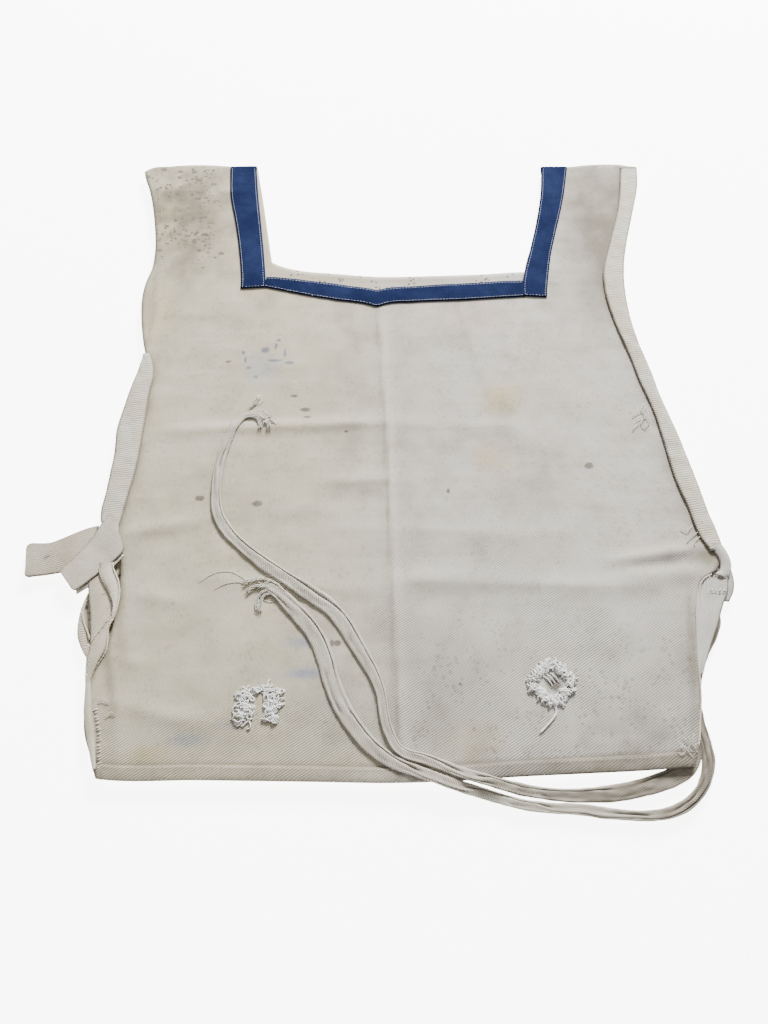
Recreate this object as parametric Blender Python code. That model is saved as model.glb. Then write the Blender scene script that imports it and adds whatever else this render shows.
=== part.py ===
"""A butcher's over-the-head apron in white cotton drill, laid flat with its front on top of its back.

Front and back hang from two shoulder straps, and each neckline is bound with a blue cotton band. Drafting
measures run in metres from the centre line (x) and up from the lowest point of the hem (y); +Z is up and z = 0
is the table. The object's origin is the bottom centre of the laid apron without its two loose ties.
"""

import math

import bmesh
import bpy
from mathutils import Vector

# Overall pattern
LENGTH = 0.630             # hem to shoulder fold
SHOULDER_HALF = 0.2635     # centre line to the outer end of a shoulder
ARMHOLE_HALF = 0.2360      # narrowest part, under the arm
RIB_HALF = 0.2380
WAIST_HALF = 0.2650
TIE_HALF = 0.2550          # where the ties are sewn on
SKIRT_HALF = 0.2400
HEM_HALF = 0.2270

# Heights above the hem
SKIRT_Y = 0.110
TIE_Y = 0.185
WAIST_Y = 0.215
RIB_Y = 0.388
ARMHOLE_Y = 0.465

# How far the cloth lies outside (+) or inside (-) its pattern, from the hem up to the shoulder
LAY = {
    "front_left": (0.000, -0.008, -0.005, -0.012, -0.001, 0.008, 0.001),
    "front_right": (0.001, 0.005, 0.016, 0.011, 0.000, -0.006, 0.000),
    "back_left": (-0.004, 0.020, -0.004, -0.014, -0.004, -0.002, 0.000),
    "back_right": (-0.010, -0.022, -0.006, -0.012, -0.004, -0.009, 0.000),
}

# Hem line: the right corner is pulled up a little
HEM_RISE_LEFT = 0.003
HEM_RISE_RIGHT = 0.012
BACK_HEM_TUCK = 0.003

# Necklines
NECK_HALF_TOP = 0.154
NECK_HALF_BOTTOM = 0.129
NECK_SHIFT_TOP = 0.008
NECK_SHIFT_BOTTOM = 0.002
FRONT_NECK_DEPTH = 0.155
BACK_NECK_DEPTH = 0.141
NECK_V_DROP = 0.010        # dip of the front neckline at the centre crease
CREASE_X = -0.015

# Trimmings
BAND_WIDTH = 0.025
CROSS_BAND_WIDTH = 0.020
FACING_WIDTH = 0.019
FACING_START_Y = 0.218
LEFT_FACING_TOP_Y = 0.388  # above this the left facing is turned under

# Ties
TIE_WIDTH = 0.030          # flat, as sewn on
LAID_TIE_WIDTH = 0.009     # a long tie as it lies, rolled up lengthwise
LEFT_REACH = TIE_HALF + 0.061          # centre line to the end of the left back tie
RIGHT_REACH = TIE_HALF + TIE_WIDTH     # centre line to the outer edge of the right tie tab
TAB_TOP_Y = 0.190
TAB_BOTTOM_Y = 0.133
FRONT_STUB_ROOT = (0.015 - TIE_HALF, 0.202)
FRONT_STUB_LENGTH = 0.055
FRONT_STUB_ANGLE = math.radians(230.0)
BACK_STUB_ROOT_Y = 0.186
BACK_STUB_ANGLE = math.radians(186.0)

# Darned buttonholes: centre, width, height, slot width, slot height
LEFT_DARN = ((-0.107, 0.058), 0.035, 0.027, 0.005, 0.012)
RIGHT_DARN = ((0.125, 0.075), 0.038, 0.036, 0.010, 0.012)

# Thicknesses
CLOTH = 0.0015
TRIM = 0.0006
TAPE = 0.0012
CLEARANCE = 0.0003
CUTTER_OVERRUN = 0.005     # how far a cutter runs past the cloth

# Layers, from the table up: the back's trimmings are pressed flush into its underside
BACK_Z = 0.0
FRONT_Z = BACK_Z + CLOTH + CLEARANCE
ON_FRONT_Z = FRONT_Z + CLOTH + CLEARANCE

# Hinge lines
FOLD_Y = LENGTH + CLEARANCE
FOLD_Z = BACK_Z + CLOTH + CLEARANCE / 2

# Drafting point that lies on the object's origin
CENTRE = ((RIGHT_REACH - LEFT_REACH) / 2, LENGTH / 2)

EDGE_STEPS = 28
ROUND_STEPS = 6

# Long ties, from the tab to the frayed end: x, y and the height of the underside, in millimetres
LIFT = ON_FRONT_Z * 1000.0
UPPER_TIE_ROUTE = (
    (257.5, 132.0, 0.0), (257.0, 127.0, 0.0), (252.0, 118.0, 0.0), (244.5, 107.0, 0.0), (237.5, 95.0, 0.0),
    (232.5, 80.0, 0.0), (228.5, 62.0, 0.0), (229.0, 46.0, 0.0), (231.3, 32.0, 0.0),
    (230.0, 20.0, 0.0), (223.5, 10.5, 0.0), (211.0, 4.0, 0.0), (194.0, -1.5, 0.0),
    (174.0, -6.0, 0.0), (150.0, -8.5, 0.0), (125.0, -8.5, 0.0), (105.0, -6.2, 1.8),
    (88.0, -2.8, LIFT), (70.0, 2.0, LIFT), (51.0, 7.2, LIFT), (25.0, 16.5, LIFT),
    (2.5, 24.8, LIFT), (-4.5, 37.0, LIFT), (-8.5, 52.0, LIFT), (-10.5, 66.0, LIFT),
    (-15.5, 80.0, LIFT), (-24.5, 96.0, LIFT), (-34.0, 112.0, LIFT), (-43.0, 126.0, LIFT),
    (-53.0, 137.0, LIFT), (-65.0, 146.0, LIFT), (-80.0, 155.5, LIFT), (-96.0, 166.0, LIFT),
    (-112.0, 177.0, LIFT), (-128.0, 190.0, LIFT), (-143.0, 205.0, LIFT), (-152.0, 220.0, LIFT),
    (-155.5, 238.0, LIFT), (-155.5, 258.0, LIFT), (-153.5, 277.0, LIFT), (-149.5, 294.0, LIFT),
    (-144.0, 309.0, LIFT), (-135.0, 319.5, LIFT), (-124.5, 320.5, LIFT), (-117.0, 314.0, LIFT),
)
LOWER_TIE_ROUTE = (
    (267.5, 132.0, 0.0), (267.0, 127.0, 0.0), (261.5, 115.0, 0.0), (253.5, 103.0, 0.0), (246.5, 91.0, 0.0),
    (242.0, 78.0, 0.0), (238.3, 62.0, 0.0), (238.8, 46.0, 0.0), (241.0, 30.0, 0.0),
    (241.0, 15.0, 0.0), (236.0, 1.0, 0.0), (226.0, -11.0, 0.0), (211.0, -19.5, 0.0),
    (191.0, -23.0, 0.0), (166.0, -22.0, 0.0), (140.0, -18.8, 0.0), (116.0, -17.5, 0.0),
    (98.0, -15.5, 0.0), (78.0, -10.5, 1.6), (62.0, -6.0, LIFT), (46.0, -1.4, LIFT),
    (21.0, 7.0, LIFT), (-2.5, 15.6, LIFT), (-18.0, 26.5, LIFT), (-31.0, 41.0, LIFT),
    (-41.5, 57.0, LIFT), (-49.5, 75.0, LIFT), (-55.0, 93.0, LIFT), (-61.5, 109.0, LIFT),
    (-71.0, 123.0, LIFT), (-83.0, 136.0, LIFT), (-95.0, 148.0, LIFT), (-106.0, 155.0, LIFT),
)

COTTON = (0.60, 0.57, 0.50, 1.0)
FACING_COTTON = (0.60, 0.54, 0.42, 1.0)
BLUE = (0.035, 0.070, 0.235, 1.0)
DARN_WHITE = (0.80, 0.80, 0.78, 1.0)


def clear_scene():
    for item in list(bpy.context.scene.objects):
        bpy.data.objects.remove(item, do_unlink=True)


def cotton_material(name, colour, roughness=0.9):
    material = bpy.data.materials.new(name)
    material.use_nodes = True
    shader = material.node_tree.nodes["Principled BSDF"]
    shader.inputs["Base Color"].default_value = colour
    shader.inputs["Roughness"].default_value = roughness
    shader.inputs["Metallic"].default_value = 0.0
    return material


def smooth_value(stations, at):
    """Cubic through (position, value) stations, flat enough between them not to overshoot much."""
    positions = [station[0] for station in stations]
    index = 0
    while index < len(stations) - 2 and at > positions[index + 1]:
        index += 1
    slopes = []
    for near in (index, index + 1):
        low = stations[max(near - 1, 0)]
        high = stations[min(near + 1, len(stations) - 1)]
        slopes.append((high[1] - low[1]) / (high[0] - low[0]))
    span = positions[index + 1] - positions[index]
    t = min(max((at - positions[index]) / span, 0.0), 1.0)
    h1 = 2 * t ** 3 - 3 * t ** 2 + 1
    h2 = t ** 3 - 2 * t ** 2 + t
    h3 = -2 * t ** 3 + 3 * t ** 2
    h4 = t ** 3 - t ** 2
    return h1 * stations[index][1] + h2 * span * slopes[0] + h3 * stations[index + 1][1] + h4 * span * slopes[1]


def hem_y(x, tuck=0.0):
    """Height of the hem: lowest at the centre line, the right corner pulled up most."""
    rise = HEM_RISE_RIGHT if x > 0 else HEM_RISE_LEFT
    return tuck + rise * min(abs(x) / HEM_HALF, 1.0) ** 1.5


def side_x(panel, side, y):
    """Distance of a panel's side edge from the centre line at height y."""
    lay = LAY[panel + "_" + side]
    heights = (0.0, SKIRT_Y, TIE_Y, WAIST_Y, RIB_Y, ARMHOLE_Y, LENGTH)
    halves = (HEM_HALF, SKIRT_HALF, TIE_HALF, WAIST_HALF, RIB_HALF, ARMHOLE_HALF, SHOULDER_HALF)
    stations = [(height, half + shift) for height, half, shift in zip(heights, halves, lay)]
    return smooth_value(stations, y)


def neck_depth(panel):
    return FRONT_NECK_DEPTH if panel == "front" else BACK_NECK_DEPTH


def neck_x(panel, side, y):
    """Signed x of the neck opening's side edge at height y."""
    sign = -1.0 if side == "left" else 1.0
    t = (LENGTH - y) / neck_depth(panel)
    half = NECK_HALF_TOP + (NECK_HALF_BOTTOM - NECK_HALF_TOP) * t
    shift = NECK_SHIFT_TOP + (NECK_SHIFT_BOTTOM - NECK_SHIFT_TOP) * t
    return sign * half + shift


def neck_bottom(panel, inset=0.0):
    """Points of the neck opening's lower edge, left to right, lowered by inset."""
    y = LENGTH - neck_depth(panel)
    drop = NECK_V_DROP if panel == "front" else 0.0
    left = (neck_x(panel, "left", y), y - inset)
    middle = (CREASE_X, y - drop - inset)
    right = (neck_x(panel, "right", y), y - inset)
    return [left, middle, right]


def heights_between(low, high, steps=EDGE_STEPS):
    return [low + (high - low) * step / steps for step in range(steps + 1)]


def slab(name, outline, z, thickness, material):
    """A flat piece of cloth: a closed outline of drafting points, raised by its thickness."""
    mesh_builder = bmesh.new()
    corners = [mesh_builder.verts.new((x, y, z)) for x, y in outline]
    face = mesh_builder.faces.new(corners)
    raised = bmesh.ops.extrude_face_region(mesh_builder, geom=[face])
    lifted = [item for item in raised["geom"] if isinstance(item, bmesh.types.BMVert)]
    bmesh.ops.translate(mesh_builder, verts=lifted, vec=(0.0, 0.0, thickness))
    return finish_piece(name, mesh_builder, material)


def ring(name, outer, inner, z, thickness, material):
    """A flat piece with a hole: two outlines with the same number of points."""
    mesh_builder = bmesh.new()
    loops = []
    for outline in (outer, inner):
        for height in (z, z + thickness):
            loops.append([mesh_builder.verts.new((x, y, height)) for x, y in outline])
    low_outer, high_outer, low_inner, high_inner = loops
    count = len(outer)
    for index in range(count):
        after = (index + 1) % count
        for first, second in (
            (low_outer, high_outer), (high_outer, high_inner), (high_inner, low_inner), (low_inner, low_outer),
        ):
            mesh_builder.faces.new((first[index], first[after], second[after], second[index]))
    return finish_piece(name, mesh_builder, material)


def finish_piece(name, mesh_builder, material):
    """Put the origin of the drafting measures at CENTRE and make the object."""
    shift = Vector((-CENTRE[0], -CENTRE[1], 0.0))
    bmesh.ops.translate(mesh_builder, verts=mesh_builder.verts, vec=shift)
    bmesh.ops.recalc_face_normals(mesh_builder, faces=mesh_builder.faces)
    mesh = bpy.data.meshes.new(name)
    mesh_builder.to_mesh(mesh)
    mesh_builder.free()
    mesh.materials.append(material)
    piece = bpy.data.objects.new(name, mesh)
    bpy.context.scene.collection.objects.link(piece)
    return piece


def panel_outline(panel, tuck):
    """Hem from left to right, right side up, round the neck opening and down the left side."""
    hem_left = -side_x(panel, "left", 0.0)
    hem_right = side_x(panel, "right", 0.0)
    outline = [(x, hem_y(x, tuck)) for x in heights_between(hem_left, hem_right)]
    right_low = outline[-1][1]
    left_low = outline[0][1]
    for y in heights_between(right_low, LENGTH)[1:]:
        outline.append((side_x(panel, "right", y), y))
    outline.append((neck_x(panel, "right", LENGTH), LENGTH))
    outline += reversed(neck_bottom(panel))
    outline.append((neck_x(panel, "left", LENGTH), LENGTH))
    for y in reversed(heights_between(left_low, LENGTH)[1:]):
        outline.append((-side_x(panel, "left", y), y))
    return outline


def facing_outline(panel, side, low, high, inside=0.0, outside=0.0):
    """A strip along a side edge, its outer edge on the edge of the cloth, widened inside or outside."""
    sign = -1.0 if side == "left" else 1.0
    heights = heights_between(low, high)
    outer = [(sign * (side_x(panel, side, y) + outside), y) for y in heights]
    inner = [(sign * (side_x(panel, side, y) - FACING_WIDTH - inside), y) for y in heights]
    return outer + inner[::-1]


def side_band_outline(panel, side, inside=0.0, outside=0.0, above=0.0):
    """One upright strip of the neck band, from the shoulder fold down past the neckline's corner."""
    sign = -1.0 if side == "left" else 1.0
    low = LENGTH - neck_depth(panel) - CROSS_BAND_WIDTH - outside
    high = LENGTH + above
    outline = []
    for y in (high, low):
        outline.append((neck_x(panel, side, y) - sign * inside, y))
    for y in (low, high):
        outline.append((neck_x(panel, side, y) + sign * (BAND_WIDTH + outside), y))
    return outline


def cross_band_outline(panel, gap=CLEARANCE, below=0.0, above=0.0):
    """The strip under the neck opening, its ends butted against the upright strips."""
    low = LENGTH - neck_depth(panel) - CROSS_BAND_WIDTH - below
    top = neck_bottom(panel, -above)
    bottom = neck_bottom(panel, CROSS_BAND_WIDTH + below)
    bottom[0] = (neck_x(panel, "left", low), low)
    bottom[-1] = (neck_x(panel, "right", low), low)
    for edge in (top, bottom):
        edge[0] = (edge[0][0] + gap, edge[0][1])
        edge[-1] = (edge[-1][0] - gap, edge[-1][1])
    return top + bottom[::-1]


def strip_outline(start, angle, length, width):
    """Four corners of a straight strip that leaves start at an angle."""
    along = Vector((math.cos(angle), math.sin(angle)))
    across = Vector((-along.y, along.x)) * width / 2
    root = Vector(start)
    end = root + along * length
    return [tuple(root + across), tuple(root - across), tuple(end - across), tuple(end + across)]


def rounded_box(centre, width, height, radius):
    """Rounded rectangle with ROUND_STEPS points on each corner."""
    points = []
    corners = ((1, 1, 0), (-1, 1, 90), (-1, -1, 180), (1, -1, 270))
    for side, end, start in corners:
        middle_x = centre[0] + side * (width / 2 - radius)
        middle_y = centre[1] + end * (height / 2 - radius)
        for step in range(ROUND_STEPS + 1):
            turn = math.radians(start + 90.0 * step / ROUND_STEPS)
            points.append((middle_x + radius * math.cos(turn), middle_y + radius * math.sin(turn)))
    return points


def darn(name, size, material):
    """A darned patch round a buttonhole."""
    centre, width, height, slot_width, slot_height = size
    outer = rounded_box(centre, width, height, min(width, height) / 5)
    inner = rounded_box(centre, slot_width, slot_height, slot_width * 0.45)
    return ring(name, outer, inner, ON_FRONT_Z, TRIM, material)


def smooth_route(route):
    """Catmull-Rom points through the route, two to a stretch, in metres."""
    knots = [Vector(point) / 1000.0 for point in route]
    knots = [2 * knots[0] - knots[1]] + knots + [2 * knots[-1] - knots[-2]]
    points = []
    for index in range(1, len(knots) - 2):
        before, start, end, after = knots[index - 1:index + 3]
        for t in (0.0, 0.5):
            points.append(0.5 * (
                2 * start + (end - before) * t + (2 * before - 5 * start + 4 * end - after) * t * t
                + (3 * start - before - 3 * end + after) * t ** 3
            ))
    points.append(knots[-2])
    return points


def laid_tie(name, route, material):
    """A long tie as it lies: a flat strip swept along its route."""
    mesh_builder = bmesh.new()
    points = smooth_route(route)
    sections = []
    for index, point in enumerate(points):
        ahead = points[min(index + 1, len(points) - 1)] - points[max(index - 1, 0)]
        across = Vector((-ahead.y, ahead.x, 0.0)).normalized() * LAID_TIE_WIDTH / 2
        up = Vector((0.0, 0.0, TAPE))
        corners = (point - across, point + across, point + across + up, point - across + up)
        sections.append([mesh_builder.verts.new(corner) for corner in corners])
    for first, second in zip(sections, sections[1:]):
        for index in range(4):
            after = (index + 1) % 4
            mesh_builder.faces.new((first[index], first[after], second[after], second[index]))
    mesh_builder.faces.new(sections[0])
    mesh_builder.faces.new(sections[-1])
    return finish_piece(name, mesh_builder, material)


def hinge_empty(name, location, angle=0.0):
    """An empty on a hinge line, its X axis along the line."""
    empty = bpy.data.objects.new(name, None)
    empty.empty_display_size = 0.03
    empty.location = (location[0] - CENTRE[0], location[1] - CENTRE[1], location[2])
    empty.rotation_euler = (0.0, 0.0, angle)
    bpy.context.scene.collection.objects.link(empty)
    return empty


def attach(pieces, parent):
    """Parent without moving anything."""
    bpy.context.view_layer.update()
    for piece in pieces:
        placed = piece.matrix_world.copy()
        piece.parent = parent
        piece.matrix_parent_inverse = parent.matrix_world.inverted()
        piece.matrix_world = placed


def build_trimmings(panel, z, facing_tops):
    """Neck band and side facings of one panel."""
    blue = cotton_material(panel + "_blue_band", BLUE)
    twill = cotton_material(panel + "_facing_cotton", FACING_COTTON)
    pieces = [slab(panel + "_neck_band_cross", cross_band_outline(panel), z, TRIM, blue)]
    for side in ("left", "right"):
        pieces.append(slab(panel + "_neck_band_" + side, side_band_outline(panel, side), z, TRIM, blue))
        strip = facing_outline(panel, side, FACING_START_Y, facing_tops[side])
        pieces.append(slab(panel + "_side_facing_" + side, strip, z, TRIM, twill))
    return pieces


def cut_rebate(panel, name, outline, material):
    """Sink a trimming's outline into the underside of a panel, with clearance above it."""
    depth = TRIM + CLEARANCE
    cutter = slab(name, outline, BACK_Z - CUTTER_OVERRUN, CUTTER_OVERRUN + depth, material)
    cutter.hide_render = True
    cutter.display_type = "WIRE"
    cut = panel.modifiers.new(name, "BOOLEAN")
    cut.operation = "DIFFERENCE"
    cut.solver = "EXACT"
    cut.object = cutter


def build_back():
    cotton = cotton_material("back_cotton", COTTON)
    panel = slab("back_panel", panel_outline("back", BACK_HEM_TUCK), BACK_Z, CLOTH, cotton)
    build_trimmings("back", BACK_Z, {"left": LENGTH, "right": LENGTH})
    past = CUTTER_OVERRUN
    low = FACING_START_Y - CLEARANCE
    for side in ("left", "right"):
        strip = facing_outline("back", side, low, LENGTH + past, CLEARANCE, past)
        cut_rebate(panel, "facing_rebate_" + side, strip, cotton)
        strip = side_band_outline("back", side, past, CLEARANCE, past)
        cut_rebate(panel, "band_rebate_" + side, strip, cotton)
    strip = cross_band_outline("back", -BAND_WIDTH / 2, CLEARANCE, past)
    cut_rebate(panel, "band_rebate_cross", strip, cotton)


def build_front():
    cotton = cotton_material("front_cotton", COTTON)
    tape = cotton_material("tie_cotton", COTTON)
    thread = cotton_material("darning_thread", DARN_WHITE)
    pieces = [slab("front_panel", panel_outline("front", 0.0), FRONT_Z, CLOTH, cotton)]
    pieces += build_trimmings("front", ON_FRONT_Z, {"left": LEFT_FACING_TOP_Y, "right": LENGTH})
    back_edge = max(side_x("back", "right", y) for y in (TAB_BOTTOM_Y, TAB_TOP_Y))
    tab_inner_x = max(RIGHT_REACH - TIE_WIDTH, back_edge + CLEARANCE)
    tab_top = (tab_inner_x + TIE_WIDTH / 2, TAB_TOP_Y)
    tab = strip_outline(tab_top, math.radians(270.0), TAB_TOP_Y - TAB_BOTTOM_Y, TIE_WIDTH)
    pieces.append(slab("right_tie_tab", tab, FRONT_Z - CLEARANCE - TAPE, TAPE, tape))
    pieces.append(laid_tie("right_tie_upper", UPPER_TIE_ROUTE, tape))
    pieces.append(laid_tie("right_tie_lower", LOWER_TIE_ROUTE, tape))
    pieces.append(darn("left_buttonhole_darn", LEFT_DARN, thread))
    pieces.append(darn("right_buttonhole_darn", RIGHT_DARN, thread))
    fold = hinge_empty("shoulder_fold_axis", (0.0, FOLD_Y, FOLD_Z))
    attach(pieces, fold)
    return fold


def build_left_stubs(front):
    """The two short ties on the left: the front one lies over the back one."""
    tape = cotton_material("stub_cotton", COTTON)
    outline = strip_outline(FRONT_STUB_ROOT, FRONT_STUB_ANGLE, FRONT_STUB_LENGTH, TIE_WIDTH)
    stub = slab("left_front_tie", outline, ON_FRONT_Z, TAPE, tape)
    hinge = hinge_empty("left_front_tie_axis", (*FRONT_STUB_ROOT, ON_FRONT_Z), FRONT_STUB_ANGLE - math.pi / 2)
    attach([hinge], front)
    attach([stub], hinge)

    levels = (-TIE_WIDTH, 0.0, TIE_WIDTH / 2)
    edge = max(side_x("back", "left", BACK_STUB_ROOT_Y + level) for level in levels)
    lean = abs(math.sin(BACK_STUB_ANGLE)) * TIE_WIDTH / 2
    root = (-(edge + CLEARANCE + lean), BACK_STUB_ROOT_Y)
    length = (LEFT_REACH - lean + root[0]) / abs(math.cos(BACK_STUB_ANGLE))
    outline = strip_outline(root, BACK_STUB_ANGLE, length, TIE_WIDTH)
    stub = slab("left_back_tie", outline, BACK_Z, TAPE, tape)
    hinge = hinge_empty("left_back_tie_axis", (*root, BACK_Z), BACK_STUB_ANGLE - math.pi / 2)
    attach([stub], hinge)


def build_apron():
    clear_scene()
    build_back()
    front = build_front()
    build_left_stubs(front)


build_apron()
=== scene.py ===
"""Looks of the butcher apron: creased cotton, blue neck band, side facings, ties, darns, floor and lights.

Shapes are drafted in millimetres: x from the apron's centre line, y up from the hem, z up from the table.
"""

import math

import bpy
import numpy as np
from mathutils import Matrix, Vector, noise


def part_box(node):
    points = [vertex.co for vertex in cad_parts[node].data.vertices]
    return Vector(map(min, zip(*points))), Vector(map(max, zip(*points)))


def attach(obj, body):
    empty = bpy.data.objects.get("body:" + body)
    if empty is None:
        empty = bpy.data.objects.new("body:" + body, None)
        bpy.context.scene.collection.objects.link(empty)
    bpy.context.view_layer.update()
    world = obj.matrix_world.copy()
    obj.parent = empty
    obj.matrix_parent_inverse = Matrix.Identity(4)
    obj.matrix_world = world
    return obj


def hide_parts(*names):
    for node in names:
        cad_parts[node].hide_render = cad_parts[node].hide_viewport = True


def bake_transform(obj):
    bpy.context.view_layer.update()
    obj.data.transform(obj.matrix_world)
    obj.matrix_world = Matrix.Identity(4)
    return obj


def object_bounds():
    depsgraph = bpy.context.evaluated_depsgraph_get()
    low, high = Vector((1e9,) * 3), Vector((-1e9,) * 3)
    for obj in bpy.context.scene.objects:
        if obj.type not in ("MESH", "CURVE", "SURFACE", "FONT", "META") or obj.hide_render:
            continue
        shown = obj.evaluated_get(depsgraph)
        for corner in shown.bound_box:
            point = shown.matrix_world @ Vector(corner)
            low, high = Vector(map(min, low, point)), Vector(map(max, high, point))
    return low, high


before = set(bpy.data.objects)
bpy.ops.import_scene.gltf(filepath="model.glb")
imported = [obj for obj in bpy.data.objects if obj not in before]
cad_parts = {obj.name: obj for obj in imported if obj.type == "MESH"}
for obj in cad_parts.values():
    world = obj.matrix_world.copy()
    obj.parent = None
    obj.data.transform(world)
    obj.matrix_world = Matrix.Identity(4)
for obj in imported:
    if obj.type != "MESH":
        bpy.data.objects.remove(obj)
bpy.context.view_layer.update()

# ---------------------------------------------------------------- drafting frame
RIGHT_REACH = 0.285                      # centre line to the outer edge of the right tie tab
CENTRE_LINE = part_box("right_tie_tab")[1].x - RIGHT_REACH
HEM_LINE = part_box("front_panel")[0].y
FOLD = 630.0                             # shoulder fold above the hem

CLOTH_THICK = 0.8
BACK_MID = 1.3                           # middle of the back cloth above the table
FRONT_MID = 4.5                          # middle of the front cloth where it lies flat
HEM_DEPTH = 10.5
BAND_LIFT = 0.45
STITCH_PITCH = 3.1


def place(points):
    """Drafting millimetres to metres in the object's frame."""
    return np.asarray(points, float) / 1000.0 + np.array((CENTRE_LINE, HEM_LINE, 0.0))


def spot(x, y, z=0.0):
    return tuple(float(value) for value in place((x, y, z)))


def curve(*stations):
    """Smooth function through (position, value) stations; works on arrays."""
    at = np.array([station[0] for station in stations], float)
    value = np.array([station[1] for station in stations], float)
    slope = np.gradient(value, at)

    def read(position):
        position = np.clip(np.asarray(position, float), at[0], at[-1])
        index = np.clip(np.searchsorted(at, position, side="right") - 1, 0, len(at) - 2)
        span = at[index + 1] - at[index]
        t = (position - at[index]) / span
        return (
            (2 * t ** 3 - 3 * t ** 2 + 1) * value[index] + (t ** 3 - 2 * t ** 2 + t) * span * slope[index]
            + (3 * t ** 2 - 2 * t ** 3) * value[index + 1] + (t ** 3 - t ** 2) * span * slope[index + 1]
        )

    return read


def distances(line):
    """How far along a line of points each of them lies."""
    return np.concatenate(([0.0], np.cumsum(np.linalg.norm(np.diff(line, axis=0), axis=1))))


def reach_of(line):
    return float(distances(line)[-1])


def resample(line, count):
    """Even points along the smooth line through some (x, y) points."""
    line = np.asarray(line, float)
    reach = distances(line)
    at = np.linspace(0.0, reach[-1], count)
    return np.column_stack([curve(*zip(reach, line[:, axis]))(at) for axis in (0, 1)])


def smooth_step(low, high, value):
    t = np.clip((np.asarray(value, float) - low) / (high - low), 0.0, 1.0)
    return t * t * (3 - 2 * t)


def bump_field(x, y, scale, seed, octaves=2):
    """Soft noise from -1 to 1 over arrays of drafting points."""
    flat_x, flat_y = np.ravel(x), np.ravel(y)
    values = np.empty(len(flat_x))
    for index in range(len(flat_x)):
        point = Vector((flat_x[index] / scale, flat_y[index] / scale, seed))
        values[index] = noise.fractal(point, 0.6, 2.0, octaves)
    return values.reshape(np.shape(x))


# ---------------------------------------------------------------- outlines, as the apron lies
HEM = curve(
    (-260, 5), (-232, 3.6), (-226, 2.8), (-150, 2), (-60, 0.8), (0, 0), (40, 1.2), (100, 4.8), (150, 7),
    (200, 9.6), (228, 12), (260, 14),
)
FRONT_LEFT = curve(
    (0, -225), (17, -232), (35, -240), (50, -243), (66, -243), (82, -240), (105, -232.5), (130, -229.5),
    (150, -229.5), (168, -230), (187, -234), (212, -251), (245, -251), (280, -249.5), (305, -250.5), (330, -247),
    (352, -243), (374, -238.5), (388, -237), (400, -240), (425, -245), (455, -248), (470, -247), (492, -242.3),
    (512, -242), (550, -247), (595, -257), (622, -265), (634, -267),
)
FRONT_RIGHT = curve(
    (10, 226.5), (20, 231), (30, 234.5), (45, 238), (60, 241), (85, 243.5), (100, 245), (120, 247.5), (135, 250),
    (150, 254.5), (163, 262), (168, 271), (174, 275), (180, 277), (187, 278.5), (195, 278.2), (205, 276.5),
    (220, 272.8), (250, 267.5), (280, 261.8), (310, 255), (340, 247.5), (370, 242), (400, 235), (425, 231.3),
    (450, 230), (470, 230.3), (495, 233), (515, 237), (545, 245), (570, 252), (600, 260), (634, 264),
)
FRONT_NECK_LEFT = curve((470, -126.5), (480, -127.5), (510, -131), (540, -135), (590, -142), (634, -147))
FRONT_NECK_RIGHT = curve((465, 130), (474, 131), (510, 140), (550, 150), (585, 157), (634, 162.5))
FRONT_NECKLINE = curve(
    (-140, 479), (-126, 479), (-80, 474), (-40, 467.5), (-22, 464.3), (-15, 462.3), (-8, 464.5), (20, 467.5),
    (70, 471), (131, 474.5), (145, 474.5),
)
BACK_LEFT = curve(
    (0, -222), (20, -232), (50, -241), (72, -243.5), (86, -245.5), (94, -248.5), (103, -254), (113, -258.5),
    (127, -260), (138, -259), (152, -256), (180, -256.5), (205, -255), (225, -250), (300, -246), (390, -234),
    (470, -238), (550, -245), (595, -255), (622, -263.5), (634, -267),
)
BACK_RIGHT = curve(
    (0, 214), (60, 217), (110, 219), (150, 232), (185, 247), (220, 256), (300, 244), (400, 228), (470, 226),
    (550, 243), (600, 259), (634, 264),
)
BACK_NECK_LEFT = curve((488, -119), (500, -122), (540, -129.5), (590, -138), (634, -146))
BACK_NECK_RIGHT = curve((480, 133), (489, 134), (550, 152), (634, 163.5))
BACK_NECKLINE = curve(
    (-135, 508), (-124, 503), (-112, 497), (-95, 492), (-60, 488), (-15, 484), (40, 485), (90, 487), (133, 490),
    (150, 490),
)
TOP_LINE = curve(
    (-267, 623), (-262, 627), (-240, 631), (-200, 633), (-174, 631), (-146, 630.5), (0, 631), (162, 629.5),
    (189, 630), (212, 633), (235, 634), (255, 632), (264, 628),
)


# ---------------------------------------------------------------- relief of the two cloths
def ridge(x, y, start, end, width, height, fade=25.0):
    """A soft ridge (or groove, if height is negative) along the line from start to end."""
    start, end = np.array(start, float), np.array(end, float)
    along = end - start
    length = np.linalg.norm(along)
    along /= length
    travel = (x - start[0]) * along[0] + (y - start[1]) * along[1]
    off = (x - start[0]) * -along[1] + (y - start[1]) * along[0]
    ends = smooth_step(-fade, fade, travel) * (1 - smooth_step(length - fade, length + fade, travel))
    return height * np.exp(-(off / width) ** 2) * ends


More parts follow.
